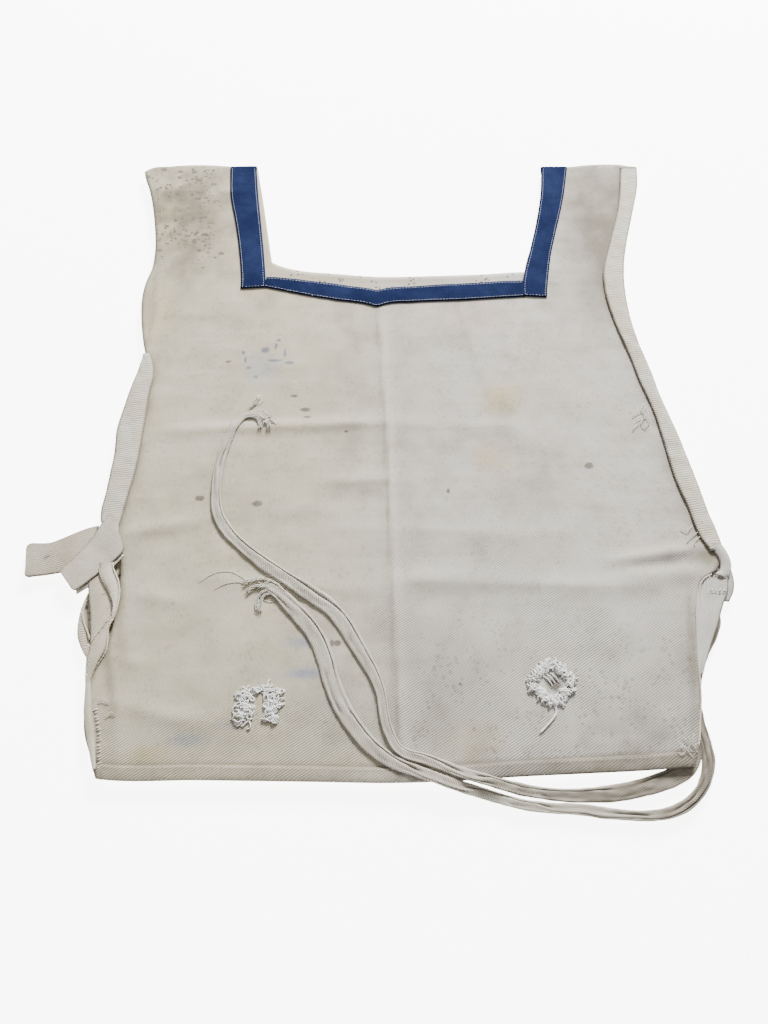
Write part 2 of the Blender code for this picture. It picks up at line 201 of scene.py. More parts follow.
FRONT_FOLDS = (
    # start, end, width, height
    ((-15, 448), (-6, 240), 7, 0.9), ((-6, 240), (5, 5), 8, 0.8), ((-215, 303), (-20, 311), 9, 1.1),
    ((-15, 311), (120, 304), 14, 0.5), ((-60, 252), (0, 255), 12, 0.8), ((-30, 205), (150, 198), 16, 0.6),
    ((-150, 158), (-20, 152), 10, 0.7), ((0, 160), (225, 153), 12, 0.9), ((-220, 150), (-175, 142), 8, 0.8),
    ((262, 190), (185, 178), 6.5, 1.5), ((255, 166), (190, 165), 10, 1.2), ((258, 178), (205, 172), 4.5, -0.8),
    ((-238, 200), (-170, 215), 9, 1.2), ((-150, 592), (-255, 596), 8, 0.7), ((170, 560), (235, 556), 12, 0.6),
    ((-225, 60), (-150, 42), 11, 1.2), ((-228, 95), (-190, 88), 8, 0.8), ((150, 30), (95, 36), 12, -0.4),
    ((235, 60), (170, 20), 10, 0.9),
)
FRONT_SWELLS = (
    # centre, radius, height
    ((-70, 380), 70, 0.8), ((120, 350), 80, 0.9), ((150, 120), 60, 0.6), ((-150, 110), 60, 0.9),
    ((205, 560), 40, 1.2), ((-205, 560), 40, 1.3), ((-150, 255), 60, 0.7), ((60, 60), 50, 0.5),
    ((-112, 58), 26, -0.3), ((125, 75), 26, 0.4), ((235, 35), 22, 0.9), ((245, 100), 25, 0.7),
)


def front_height(x, y):
    """Middle of the front cloth; never below FRONT_MID, so that it stays clear of the back."""
    x, y = np.asarray(x, float), np.asarray(y, float)
    z = 1.1 * bump_field(x, y, 95.0, 3.1) + 0.6 * bump_field(x, y, 34.0, 8.7)
    for start, end, width, height in FRONT_FOLDS:
        z = z + ridge(x, y, start, end, 0.8 * width, 1.5 * height)
    for centre, radius, height in FRONT_SWELLS:
        z = z + height * np.exp(-((x - centre[0]) ** 2 + (y - centre[1]) ** 2) / radius ** 2)
    top = smooth_step(FOLD - 40, FOLD - 4, y)
    z = z * (1 - top)
    return FRONT_MID + 0.35 + np.log1p(np.exp(2.2 * z)) / 2.2 * (1 - top) - 0.35 * top


def back_height(x, y):
    """Middle of the back cloth: flat, with a little play where it shows."""
    x, y = np.asarray(x, float), np.asarray(y, float)
    z = 0.25 * bump_field(x, y, 60.0, 21.0)
    return BACK_MID + np.clip(z, -0.05, 0.35) * (1 - smooth_step(FOLD - 30, FOLD - 4, y))


def laid(line, lift=0.0):
    """Points of a line of (x, y) on top of the front cloth, lifted a little."""
    line = np.asarray(line, float)
    z = front_height(line[:, 0], line[:, 1]) + CLOTH_THICK / 2 + lift
    return np.column_stack((line, z))


# ---------------------------------------------------------------- mesh helpers
def store(mesh, name, kind, field, values):
    """Keep values with the points of a mesh, for its material to read."""
    layer = mesh.attributes.new(name, kind, "POINT")
    layer.data.foreach_set(field, np.ravel(values).astype(np.float32))


def keep_tone(piece, tone):
    """Soiling and painted shade and highlight at each point, from -1 dark to 1 pale."""
    store(piece.data, "tone", "FLOAT", "value", tone)


def finish(piece, body):
    """Let a piece ride on a body."""
    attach(piece, body)


def build_mesh(name, vertices, faces, material, pattern=None):
    """Mesh object from drafting points, with the points kept as the pattern that its material reads."""
    mesh = bpy.data.meshes.new(name)
    mesh.from_pydata([tuple(point) for point in place(vertices)], [], faces)
    pattern = np.asarray(vertices if pattern is None else pattern, float) / 1000.0
    store(mesh, "pattern", "FLOAT_VECTOR", "vector", pattern)
    mesh.update()
    for polygon in mesh.polygons:
        polygon.use_smooth = True
    piece = bpy.data.objects.new(name, mesh)
    bpy.context.scene.collection.objects.link(piece)
    mesh.materials.append(material)
    return piece


def thicken(piece, thickness):
    """Give a sheet its thickness, half of it on each side."""
    solid = piece.modifiers.new("thickness", "SOLIDIFY")
    solid.thickness = thickness / 1000.0
    solid.offset = 0.0
    solid.use_even_offset = False
    bpy.context.view_layer.update()
    graph = bpy.context.evaluated_depsgraph_get()
    thin = piece.data
    piece.data = bpy.data.meshes.new_from_object(piece.evaluated_get(graph))
    piece.modifiers.clear()
    bpy.data.meshes.remove(thin)


def grid_faces(rows, columns, start=0, keep=None, wrap=False):
    faces = []
    around = columns if wrap else columns - 1
    for row in range(rows - 1):
        for column in range(around):
            if keep is not None and not keep(row, column):
                continue
            here = start + row * columns + column
            beside = start + row * columns + (column + 1) % columns
            faces.append((here, beside, beside + columns, here + columns))
    return faces


def tubes(name, paths, radius, material, sides=6):
    """Closed round threads along paths of drafting points, all in one mesh."""
    vertices, faces = [], []
    for path in paths:
        path = np.asarray(path, float)
        ahead = np.gradient(path, axis=0)
        ahead /= np.linalg.norm(ahead, axis=1)[:, None] + 1e-9
        side = np.cross(ahead, (0.0, 0.0, 1.0))
        weak = np.linalg.norm(side, axis=1) < 0.2
        side[weak] = np.cross(ahead[weak], (1.0, 0.0, 0.0))
        side /= np.linalg.norm(side, axis=1)[:, None]
        up = np.cross(side, ahead)
        start = len(vertices)
        for index, point in enumerate(path):
            taper = 0.55 if index in (0, len(path) - 1) else 1.0
            for step in range(sides):
                turn = 2 * math.pi * step / sides
                out = math.cos(turn) * side[index] + math.sin(turn) * up[index]
                vertices.append(point + radius * taper * out)
        faces += grid_faces(len(path), sides, start, wrap=True)
        faces.append(tuple(start + step for step in reversed(range(sides))))
        faces.append(tuple(start + (len(path) - 1) * sides + step for step in range(sides)))
    return build_mesh(name, vertices, faces, material)


def stitches(path, pitch, length, lift):
    """Short thread paths along a line of drafting points, each arching a little out of the cloth."""
    path = np.asarray(path, float)
    steps = distances(path)
    made = []
    at = pitch * 0.4
    while at + length < steps[-1]:
        places = at + length * np.array((0.0, 0.25, 0.5, 0.75, 1.0))
        thread = np.stack([np.interp(places, steps, path[:, axis]) for axis in range(3)], axis=1)
        thread[:, 2] += lift * np.array((-0.6, 0.7, 1.0, 0.7, -0.6))
        made.append(thread)
        at += pitch
    return made


# ---------------------------------------------------------------- materials
class Nodes:
    """Short names for the node types that the materials use."""

    def __init__(self, name):
        self.material = bpy.data.materials.new(name)
        self.material.use_nodes = True
        self.tree = self.material.node_tree
        self.shader = self.tree.nodes["Principled BSDF"]

    def add(self, kind, **settings):
        node = self.tree.nodes.new(kind)
        for key, value in settings.items():
            setattr(node, key, value)
        return node

    def link(self, source, target):
        self.tree.links.new(source, target)

    def feed(self, socket, value):
        if isinstance(value, bpy.types.NodeSocket):
            self.link(value, socket)
        else:
            socket.default_value = value

    def pattern(self):
        return self.add("ShaderNodeAttribute", attribute_name="pattern").outputs["Vector"]

    def math(self, operation, first, second=0.0, clamp=False):
        node = self.add("ShaderNodeMath", operation=operation, use_clamp=clamp)
        self.feed(node.inputs[0], first)
        self.feed(node.inputs[1], second)
        return node.outputs[0]

    def both(self, first, second):
        return self.math("MULTIPLY", first, second)

    def sine(self, vector, direction, pitch, shift=None):
        """Ribs that repeat at a pitch in one direction."""
        phase = self.both(self.dot(vector, direction), 2 * math.pi / pitch)
        return self.math("SINE", phase if shift is None else self.math("ADD", phase, shift))

    def dot(self, vector, direction):
        node = self.add("ShaderNodeVectorMath", operation="DOT_PRODUCT")
        self.link(vector, node.inputs[0])
        node.inputs[1].default_value = direction
        return node.outputs["Value"]

    def noise(self, vector, scale, detail=3.0, rough=0.55):
        node = self.add("ShaderNodeTexNoise")
        self.link(vector, node.inputs["Vector"])
        node.inputs["Scale"].default_value = scale
        node.inputs["Detail"].default_value = detail
        node.inputs["Roughness"].default_value = rough
        return node.outputs["Fac"]

    def stretch(self, vector, scale, move=(0.0, 0.0, 0.0), turn=0.0):
        node = self.add("ShaderNodeMapping")
        self.link(vector, node.inputs["Vector"])
        node.inputs["Scale"].default_value = scale
        node.inputs["Location"].default_value = move
        node.inputs["Rotation"].default_value = (0.0, 0.0, turn)
        return node.outputs["Vector"]

    def ramp(self, value, low, high, out_low=0.0, out_high=1.0, kind="SMOOTHSTEP"):
        node = self.add("ShaderNodeMapRange", interpolation_type=kind)
        self.feed(node.inputs["Value"], value)
        for key, number in (("From Min", low), ("From Max", high), ("To Min", out_low), ("To Max", out_high)):
            node.inputs[key].default_value = number
        return node.outputs["Result"]

    def mix(self, amount, first, second, blend="MIX"):
        node = self.add("ShaderNodeMix", data_type="RGBA", blend_type=blend)
        self.feed(node.inputs["Factor"], amount)
        self.feed(node.inputs[6], first)
        self.feed(node.inputs[7], second)
        return node.outputs[2]

    def nearest(self, vector, ovals):
        """Distance from the nearest of some ovals, as a share of its size."""
        least = None
        for x, y, width, height in ovals:
            scaled = self.stretch(vector, (1000.0 / width, 1000.0 / height, 0.0), (-x / width, -y / height, 0.0))
            length = self.add("ShaderNodeVectorMath", operation="LENGTH")
            self.link(scaled, length.inputs[0])
            value = length.outputs["Value"]
            least = value if least is None else self.math("MINIMUM", least, value)
        return least

    def bump(self, height, strength, distance):
        node = self.add("ShaderNodeBump")
        node.inputs["Strength"].default_value = strength
        node.inputs["Distance"].default_value = distance
        self.feed(node.inputs["Height"], height)
        return node


TWILL_PITCH = 0.00175
THREAD_PITCH = 0.0006
TWILL_ANGLE = math.radians(33.0)


def weave(nodes, vector, angle, pitch, cross_pitch, stray=0.0):
    """Twill ribs with a finer thread across them; stray lets the ribs wander."""
    wander = nodes.both(nodes.noise(vector, 120.0, 2.0), stray) if stray else None
    ribs = nodes.sine(vector, (-math.sin(angle), math.cos(angle), 0.0), pitch, wander)
    threads = nodes.sine(vector, (math.cos(angle), math.sin(angle), 0.0), cross_pitch)
    return nodes.math("ADD", ribs, nodes.both(threads, 0.35))


def fabric_finish(nodes, colour, height, distance, rough=0.88, sheen=0.1, strength=0.6, specular=0.15):
    nodes.feed(nodes.shader.inputs["Base Color"], colour)
    nodes.shader.inputs["Roughness"].default_value = rough
    nodes.shader.inputs["Sheen Weight"].default_value = sheen
    nodes.shader.inputs["Sheen Roughness"].default_value = 0.6
    nodes.shader.inputs["Specular IOR Level"].default_value = specular
    nodes.link(nodes.bump(height, strength, distance).outputs["Normal"], nodes.shader.inputs["Normal"])
    return nodes.material


WARM_COTTON = (0.565, 0.505, 0.355, 1.0)
COOL_COTTON = (0.590, 0.562, 0.520, 1.0)
SHADED_COTTON = (0.300, 0.262, 0.200, 1.0)
# painted highlight beside the creases, and pale mottling
HIGHLIGHT_AND_PALE_COTTON = (0.760, 0.740, 0.690, 1.0)
YELLOW_STAIN = (0.560, 0.440, 0.220, 1.0)
PINK_STAIN = (0.560, 0.430, 0.360, 1.0)
GREY_SPOT = (0.075, 0.062, 0.055, 1.0)
WHITE_THREAD = (0.780, 0.770, 0.740, 1.0)
# painted shade of creases, seams and edges, and grime: where the cloth's tone is negative, its colour goes towards
# this
CLOTH_SHADE_AND_GRIME = (0.130, 0.108, 0.070, 1.0)
# painted shade along the edges of strips and in the valleys of the ties, and grime on the ties
STRIP_SHADE_AND_GRIME = (0.150, 0.125, 0.090, 1.0)
# painted shade in the hollow by the right tab
HOLLOW_SHADE = (0.260, 0.245, 0.165, 1.0)
# painted shade in the hole of the darned buttonhole
HOLE_SHADE = (0.120, 0.095, 0.070, 1.0)
INK = (0.060, 0.085, 0.190, 1.0)
PALE_INK = (0.270, 0.290, 0.370, 1.0)
FACING_TONE = (0.560, 0.500, 0.385, 1.0)
FACING_PALE = (0.600, 0.570, 0.500, 1.0)

SPECKS = (
    # x, y, width, height
    (-170, 236, 4, 2.6), (-119, 231, 4.6, 3), (-92, 341, 3.4, 1.7), (-81, 326, 4.6, 2.2), (-79, 318, 3.6, 1.2),
    (-156, 379, 3, 1.2), (-50, 107, 2.4, 2.4), (52, 74, 1.6, 1.4), (175, 268, 4, 3), (-43, 303, 2.2, 1.2),
    (-213, 623, 2.8, 2.2), (-246, 627, 3, 2.4), (-228, 615, 2.4, 1.8), (-206, 611, 3.4, 2.4),
    (-220, 611, 2, 1.4), (-206, 584, 2.4, 1.8), (-202, 573, 2.4, 1.6), (-199, 557, 2.4, 2.4),
    (-214, 571, 2.2, 1.4), (-193, 535, 3.4, 2.4), (-212, 533, 2.2, 1.4), (-194, 526, 2.2, 1.6),
    (-203, 526, 2.6, 3.6), (-238, 514, 3, 1.6), (-180, 505, 1.8, 1.4), (-174, 510, 2.4, 2),
    (-191, 492, 1.4, 1.2), (-205, 592, 1.8, 1.6), (-197, 514, 2.6, 2), (48, 243, 1.6, 1.8),
    (127.5, 73, 4.6, 4.2), (-107, 68.5, 2.4, 1.4), (-46, 107, 3, 2.6),
)
INK_STROKES = (
    # x, y, width, height
    (-143, 389, 2.2, 3.2), (-140, 381, 1.4, 5), (-137, 372, 3, 2), (-122, 392, 5, 4), (-110, 403, 2.6, 2.2),
    (-103, 388, 1.8, 6.5), (-112, 380, 9, 1.8), (-98, 377, 5, 2.4), (-129, 362, 3, 2.6), (-112, 396, 1.6, 4.5),
)
SMEARS_AND_PAINTED_SHADE = (
    # x, y, width, height, colour, strength; the shaded cotton patches, the hollow by the right tab and the hole of
    # the right darn are painted shade, the rest are stains, ink, a spot and the white of the darning
    (-76, 108, 24, 7, PALE_INK, 0.75), (-68, 83, 28, 7, PALE_INK, 0.95), (-160, 31, 26, 8, PALE_INK, 0.75),
    (-124, 372, 28, 28, PALE_INK, 0.50), (-45, 60, 16, 14, PALE_INK, 0.65), (-130, 42, 20, 6, PALE_INK, 0.50),
    (100, 340, 36, 34, YELLOW_STAIN, 0.60), (90, 275, 34, 28, YELLOW_STAIN, 0.50),
    (-228, 440, 24, 60, YELLOW_STAIN, 0.35), (80, 432, 60, 24, PINK_STAIN, 0.60),
    (150, 395, 60, 40, PINK_STAIN, 0.22), (60, 30, 40, 26, YELLOW_STAIN, 0.40),
    (-178, 366, 6, 3, YELLOW_STAIN, 0.90), (-235, 560, 26, 70, YELLOW_STAIN, 0.45),
    (120, 190, 50, 30, YELLOW_STAIN, 0.20), (-182, 103, 3, 2, YELLOW_STAIN, 0.90),
    (-190, 20, 24, 12, YELLOW_STAIN, 0.60), (-20, 15, 60, 12, YELLOW_STAIN, 0.25),
    # painted shade on the straps, beside the right facing and across the back neck
    (-205, 545, 46, 95, SHADED_COTTON, 0.40), (190, 470, 30, 60, SHADED_COTTON, 0.16),
    (225, 480, 14, 60, SHADED_COTTON, 0.20), (0, 776, 170, 14, SHADED_COTTON, 0.30),
    (-117, 58, 9, 15, WHITE_THREAD, 0.95), (-97, 58, 9, 15, WHITE_THREAD, 0.95),
    (-107, 70, 9, 5, WHITE_THREAD, 0.7), (-107, 58, 4.2, 8.5, YELLOW_STAIN, 0.95),
    (-107, 67.5, 2.6, 2.2, GREY_SPOT, 0.8), (125, 75, 19, 18.5, WHITE_THREAD, 0.95),
    # painted shade in the hole of the right darn and in the hollow by the right tab
    (126, 74, 9.5, 8.5, HOLE_SHADE, 1), (130, 80, 3.5, 5.5, HOLE_SHADE, 0.7), (267, 180, 17, 14, HOLLOW_SHADE, 1),
)


def cotton_cloth():
    """Washed drill: warm on the left, cooler on the right, with foxing, spots and faded ink, and storage creases,
    seams and edges shown by painted shade and highlight.
    """
    nodes = Nodes("apron_cotton")
    vector = nodes.pattern()
    split = nodes.add("ShaderNodeSeparateXYZ")
    nodes.link(vector, split.inputs[0])
    across, up = split.outputs["X"], split.outputs["Y"]
    colour = nodes.mix(nodes.ramp(across, -0.12, 0.08), WARM_COTTON, COOL_COTTON)
    cloud = nodes.noise(vector, 9.0, 4.0)
    colour = nodes.mix(nodes.ramp(cloud, 0.42, 0.72, 0.0, 0.45), colour, (0.50, 0.450, 0.355, 1.0))
    fine = nodes.noise(vector, 55.0, 5.0, 0.65)
    colour = nodes.mix(nodes.ramp(fine, 0.35, 0.75, 0.0, 0.42), colour, (0.44, 0.400, 0.315, 1.0))
    streak = nodes.noise(nodes.stretch(vector, (9.0, 85.0, 1.0)), 1.0, 4.0, 0.6)
    colour = nodes.mix(nodes.ramp(streak, 0.48, 0.70, 0.0, 0.38), colour, (0.42, 0.390, 0.310, 1.0))
    colour = nodes.mix(nodes.ramp(streak, 0.46, 0.30, 0.0, 0.40), colour, (0.66, 0.620, 0.520, 1.0))
    wobble = nodes.add("ShaderNodeVectorMath", operation="MULTIPLY_ADD")
    ragged = nodes.add("ShaderNodeTexNoise")
    nodes.link(vector, ragged.inputs["Vector"])
    ragged.inputs["Scale"].default_value = 160.0
    nodes.link(ragged.outputs["Color"], wobble.inputs[0])
    wobble.inputs[1].default_value = (0.003, 0.003, 0.0)
    nodes.link(vector, wobble.inputs[2])
    shifted = nodes.add("ShaderNodeVectorMath", operation="SUBTRACT")
    nodes.link(wobble.outputs[0], shifted.inputs[0])
    shifted.inputs[1].default_value = (0.0015, 0.0015, 0.0)
    rough_vector = shifted.outputs[0]
    # faded stains and painted shade patches, from the points
    stain_and_shade = nodes.add("ShaderNodeAttribute", attribute_name="stain_and_shade")
    colour = nodes.mix(stain_and_shade.outputs["Alpha"], colour, stain_and_shade.outputs["Color"])
    spots = nodes.ramp(nodes.nearest(rough_vector, SPECKS), 1.35, 0.70, 0.0, 0.88)
    colour = nodes.mix(spots, colour, GREY_SPOT)
    ink = nodes.ramp(nodes.nearest(rough_vector, INK_STROKES), 1.15, 0.4, 0.0, 0.80)
    colour = nodes.mix(ink, colour, INK)
    left_strap = nodes.both(nodes.ramp(up, 0.48, 0.53), nodes.ramp(across, -0.165, -0.195))
    low_right = nodes.both(nodes.ramp(up, 0.20, 0.06, 0.0, 0.4), nodes.ramp(across, -0.03, 0.04))
    back_neck = nodes.both(nodes.ramp(up, 0.760, 0.764), nodes.ramp(up, 0.800, 0.790))
    strap_or_low = nodes.math("MAXIMUM", left_strap, low_right)
    region = nodes.math("MAXIMUM", nodes.math("MAXIMUM", strap_or_low, back_neck), 0.16)
    for scale, size, share in ((200.0, 0.22, 0.54), (95.0, 0.15, 0.53)):
        dots = nodes.add("ShaderNodeTexVoronoi", feature="F1", voronoi_dimensions="2D")
        nodes.link(vector, dots.inputs["Vector"])
        dots.inputs["Scale"].default_value = scale
        dot = nodes.ramp(dots.outputs["Distance"], 1.4 * size, 0.8 * size)
        chosen = nodes.ramp(nodes.noise(vector, 0.4 * scale, 1.0), share, share + 0.03)
        colour = nodes.mix(nodes.both(nodes.both(dot, chosen), nodes.both(region, 0.95)), colour, GREY_SPOT)
    # painted shade (negative tone) and painted highlight (positive tone) from the points: creases, seams, edges and
    # hem, with mottling and soiled patches
    tone = nodes.add("ShaderNodeAttribute", attribute_name="tone").outputs["Fac"]
    colour = nodes.mix(nodes.ramp(tone, 0.0, -1.0, 0.0, 0.85, "LINEAR"), colour, CLOTH_SHADE_AND_GRIME)
    colour = nodes.mix(nodes.ramp(tone, 0.0, 1.0, 0.0, 0.55, "LINEAR"), colour, HIGHLIGHT_AND_PALE_COTTON)
    ribs = weave(nodes, vector, TWILL_ANGLE, TWILL_PITCH, THREAD_PITCH)
    worn = nodes.ramp(nodes.noise(vector, 14.0, 2.0), 0.35, 0.65, 0.35, 1.0)
    lower = nodes.ramp(up, 0.24, 0.05, 0.22, 1.0)
    rubbed_left = nodes.both(nodes.ramp(across, 0.02, -0.06), nodes.ramp(up, 0.03, 0.08))
    kept = nodes.ramp(rubbed_left, 0.0, 1.0, 1.0, 0.10)
    relief = nodes.both(nodes.both(ribs, kept), nodes.both(worn, lower))
    shade = nodes.ramp(relief, -1.0, 0.6, 0.72, 0.0)
    colour = nodes.mix(shade, colour, SHADED_COTTON)
    slub = nodes.noise(nodes.stretch(vector, (1.0, 0.25, 1.0), turn=0.5), 900.0, 2.0)
    height = nodes.math("ADD", relief, nodes.both(slub, 1.2))
    return fabric_finish(nodes, colour, height, 0.00040)


def ribbed_cotton(name, tone, pale, turn, pitch=0.0016, contrast=0.35):
    """Strip of ribbed cotton, its ribs at an angle to the pattern."""
    nodes = Nodes(name)
    vector = nodes.pattern()
    cloud = nodes.noise(vector, 38.0, 4.0, 0.6)
    colour = nodes.mix(nodes.ramp(cloud, 0.35, 0.68), tone, pale)
    spots = nodes.ramp(nodes.noise(vector, 130.0, 2.0), 0.70, 0.78)
    colour = nodes.mix(nodes.both(spots, 0.4), colour, SHADED_COTTON)
    flecks = nodes.ramp(nodes.noise(vector, 260.0, 2.0), 0.68, 0.74)
    colour = nodes.mix(nodes.both(flecks, 0.45), colour, GREY_SPOT)
    ribs = weave(nodes, vector, turn, pitch, THREAD_PITCH, 7.0)
    colour = nodes.mix(nodes.ramp(ribs, -1.0, 1.0, contrast, 0.0), colour, SHADED_COTTON)
    # negative tone darkens the strip: painted shade along its edges and in tie valleys, and grime
    tone = nodes.add("ShaderNodeAttribute", attribute_name="tone").outputs["Fac"]
    colour = nodes.mix(nodes.ramp(tone, 0.0, -1.0, 0.0, 0.92), colour, STRIP_SHADE_AND_GRIME)
    height = nodes.math("ADD", ribs, nodes.noise(vector, 700.0, 2.0))
    return fabric_finish(nodes, colour, height, 0.00018)


def blue_cotton():
    """Plain-woven blue band, faded in patches."""
    nodes = Nodes("blue_band_cotton")
    vector = nodes.pattern()
    fade = nodes.noise(vector, 26.0, 5.0, 0.7)
    colour = nodes.mix(nodes.ramp(fade, 0.35, 0.75), (0.007, 0.013, 0.046, 1.0), (0.018, 0.028, 0.082, 1.0))
    lint = nodes.ramp(nodes.noise(vector, 420.0, 3.0), 0.62, 0.80, 0.0, 0.35)
    colour = nodes.mix(lint, colour, (0.10, 0.13, 0.24, 1.0))
    warp = nodes.sine(vector, (1.0, 0.12, 0.0), 0.0009)
    weft = nodes.sine(vector, (-0.12, 1.0, 0.0), 0.0009)
    height = nodes.math("ADD", warp, weft)
    colour = nodes.mix(nodes.ramp(height, -1.6, 0.4, 0.35, 0.0), colour, (0.012, 0.022, 0.085, 1.0))
    return fabric_finish(nodes, colour, height, 0.00012, rough=0.95, sheen=0.0, specular=0.05)


def thread_material(name, light, dark, rough=0.75):
    nodes = Nodes(name)
    vector = nodes.pattern()
    twist = nodes.noise(vector, 900.0, 2.0)
    colour = nodes.mix(nodes.ramp(twist, 0.3, 0.7), light, dark)
    return fabric_finish(nodes, colour, twist, 0.0001, rough=rough, sheen=0.1)


def floor_material():
    nodes = Nodes("pale_floor")
    coordinates = nodes.add("ShaderNodeTexCoord")
    grain = nodes.noise(coordinates.outputs["Object"], 3.0, 2.0)
    colour = nodes.mix(nodes.ramp(grain, 0.3, 0.7), (0.93, 0.93, 0.93, 1.0), (0.91, 0.91, 0.91, 1.0))
    nodes.feed(nodes.shader.inputs["Base Color"], colour)
    nodes.shader.inputs["Roughness"].default_value = 0.9
    nodes.shader.inputs["Specular IOR Level"].default_value = 0.1
    nodes.shader.inputs["Emission Color"].default_value = (1.0, 1.0, 1.0, 1.0)
    nodes.shader.inputs["Emission Strength"].default_value = 7.0
    return nodes.material


# ---------------------------------------------------------------- ties
UPPER_ROUTE = (
    (257.5, 132), (257, 127), (252, 118), (244.5, 107), (237.5, 95), (232.5, 80), (228.5, 62), (229, 46),
    (231.3, 32), (230, 20), (223.5, 10.5), (211, 4), (194, -1.5), (174, -6), (150, -8.5), (125, -8.5),
    (105, -6.2), (88, -2.8), (70, 2), (51, 7.2), (25, 16.5), (2.5, 24.8), (-4.5, 37), (-8.5, 52), (-10.5, 66),
    (-15.5, 80), (-24.5, 96), (-34, 112), (-43, 126), (-53, 137), (-65, 146), (-80, 155.5), (-96, 166),
    (-112, 177), (-128, 190), (-143, 205), (-152, 220), (-155.5, 238), (-155.5, 258), (-153.5, 277),
    (-149.5, 294), (-144, 309), (-135, 319.5), (-124.5, 320.5), (-117, 314),
)
LOWER_ROUTE = (
    (267.5, 132), (267, 127), (261.5, 115), (253.5, 103), (246.5, 91), (242, 78), (238.3, 62), (238.8, 46),
    (241, 30), (241, 15), (236, 1), (226, -11), (211, -19.5), (191, -23), (166, -22), (140, -18.8), (116, -17.5),
    (98, -15.5), (78, -10.5), (62, -6), (46, -1.4), (21, 7), (-2.5, 15.6), (-18, 26.5), (-31, 41), (-41.5, 57),
    (-49.5, 75), (-55, 93), (-61.5, 109), (-71, 123), (-83, 136), (-95, 148), (-106, 155),
)
TIE_WIDTH = 9.0
TIE_STEP = 2.2


def tie_floor(points):
    """Height of what lies under each point of a tie: the table, or the front cloth."""
    x, y = points[:, 0], points[:, 1]
    past_hem = HEM(x) - y
    over = smooth_step(14.0, -3.0, past_hem) * smooth_step(150.0, 90.0, x)
    return (0.15 * (1 - over)) + over * (front_height(x, y) + CLOTH_THICK / 2 + 0.10)


def tie_profile(phase, fold, half, tall):
    """Closed section of a tape crumpled lengthwise: rims and a middle with valleys between them."""
    shift = 0.42 * math.sin(phase)
    deep = min(1.0, max(0.0, 0.45 + 0.75 * math.sin(1.3 * phase + 1.0)))
    deep_right = min(1.0, max(0.0, 0.35 + 0.75 * math.cos(0.9 * phase)))
    top = (
        (1.00, 0.30), (0.95, 0.62), (0.80, 0.86 - 0.2 * fold), (0.66, 0.80),
        (0.55 + shift * 0.5, 0.80 - 0.62 * deep_right),
        (0.44 + shift * 0.5, 0.84), (0.25 + shift, 0.94 + 0.12 * fold), (0.05 + shift, 0.96 + 0.1 * fold),
        (-0.14 + shift, 0.86), (-0.30 + shift * 0.7, 0.78 - 0.68 * deep), (-0.42 + shift * 0.6, 0.76),
        (-0.60, 0.92 + 0.1 * fold), (-0.80, 0.84), (-0.95, 0.58), (-1.00, 0.28),
    )
    low = ((-0.90, 0.04), (-0.45, 0.0), (0.0, 0.0), (0.45, 0.0), (0.90, 0.04))
    return np.array(top + low) * np.array((half, tall))


def folded_tie(name, route, material, seed, wide):
    """A cotton tie creased lengthwise, lying on what is under it."""
    line = resample(route, int(reach_of(route) / TIE_STEP) + 1)
    base = tie_floor(np.column_stack((line, np.zeros(len(line)))))
    ahead = np.gradient(line, axis=0)
    ahead /= np.linalg.norm(ahead, axis=1)[:, None]
    across = np.stack((-ahead[:, 1], ahead[:, 0]), axis=1)
    widths = wide(np.linspace(0.0, 1.0, len(line)))
    vertices, pattern, tones = [], [], []
    count = 0
    for index in range(len(line)):
        phase = seed + index * 0.045 + 5.2 * noise.noise(Vector((index * 0.035, seed, 0.0)))
        play = noise.noise(Vector((index * 0.08, seed + 5.0, 0.0)))
        half = min(7.2, 0.5 * TIE_WIDTH * widths[index] * (1.0 + 0.14 * play))
        swell = 1.0 + 0.2 * noise.noise(Vector((index * 0.06, seed + 9.0, 0.0)))
        tall = (2.9 - 0.7 * max(0.0, widths[index] - 1.0)) * swell
        if index in (0, len(line) - 1):
            tall, half = 0.6 * tall, 0.85 * half
        profile = tie_profile(phase, play, half, tall)
        lean = 0.08 * noise.noise(Vector((index * 0.05, seed + 13.0, 0.0)))
        count = len(profile)
        girth = 0.0
        for corner, (off, up) in enumerate(profile):
            if corner:
                girth += math.hypot(*(profile[corner] - profile[corner - 1]))
            wrinkle = 0.38 * noise.noise(Vector((index * 0.30, off * 0.8, up * 0.8 + seed)))
            flat = line[index] + across[index] * (off + wrinkle)
            height = max(0.05, up + lean * off + (wrinkle if up > 0.3 else 0.0))
            vertices.append((flat[0], flat[1], base[index] + height))
            pattern.append((index * TIE_STEP, girth, 0.0))
            # painted shade in the valleys of the crumpled tape and along the half of each tie nearest its root,
            # with random grime
            hollow_shade = float(smooth_step(0.66, 0.25, up / tall))
            near_root = float(smooth_step(0.50, 0.22, index / len(line)))
            grime_and_shade = 0.35 * noise.noise(Vector((index * 0.25, off * 0.4, seed))) + 0.72 * near_root
            tones.append(-min(1.0, max(hollow_shade, grime_and_shade, 0.0)))
    faces = grid_faces(len(line), count, wrap=True)
    faces.append(tuple(reversed(range(count))))
    faces.append(tuple((len(line) - 1) * count + corner for corner in range(count)))
    piece = build_mesh(name, vertices, faces, material, pattern)
    keep_tone(piece, tones)
    return piece, np.column_stack((line, base + 1.4))


THREAD_STEPS = 9


def wandering(point, length, heading_at, lift_at):
    """Path of a loose thread over the front, from its heading and lift at each share of its length."""
    path = []
    for step in range(THREAD_STEPS):
        share = step / (THREAD_STEPS - 1)
        ground = float(front_height(point[0], point[1])) + CLOTH_THICK / 2
        path.append((point[0], point[1], ground + lift_at(share)))
        heading = heading_at(share)
        point = point + length / (THREAD_STEPS - 1) * np.array((math.cos(heading), math.sin(heading)))
    return path


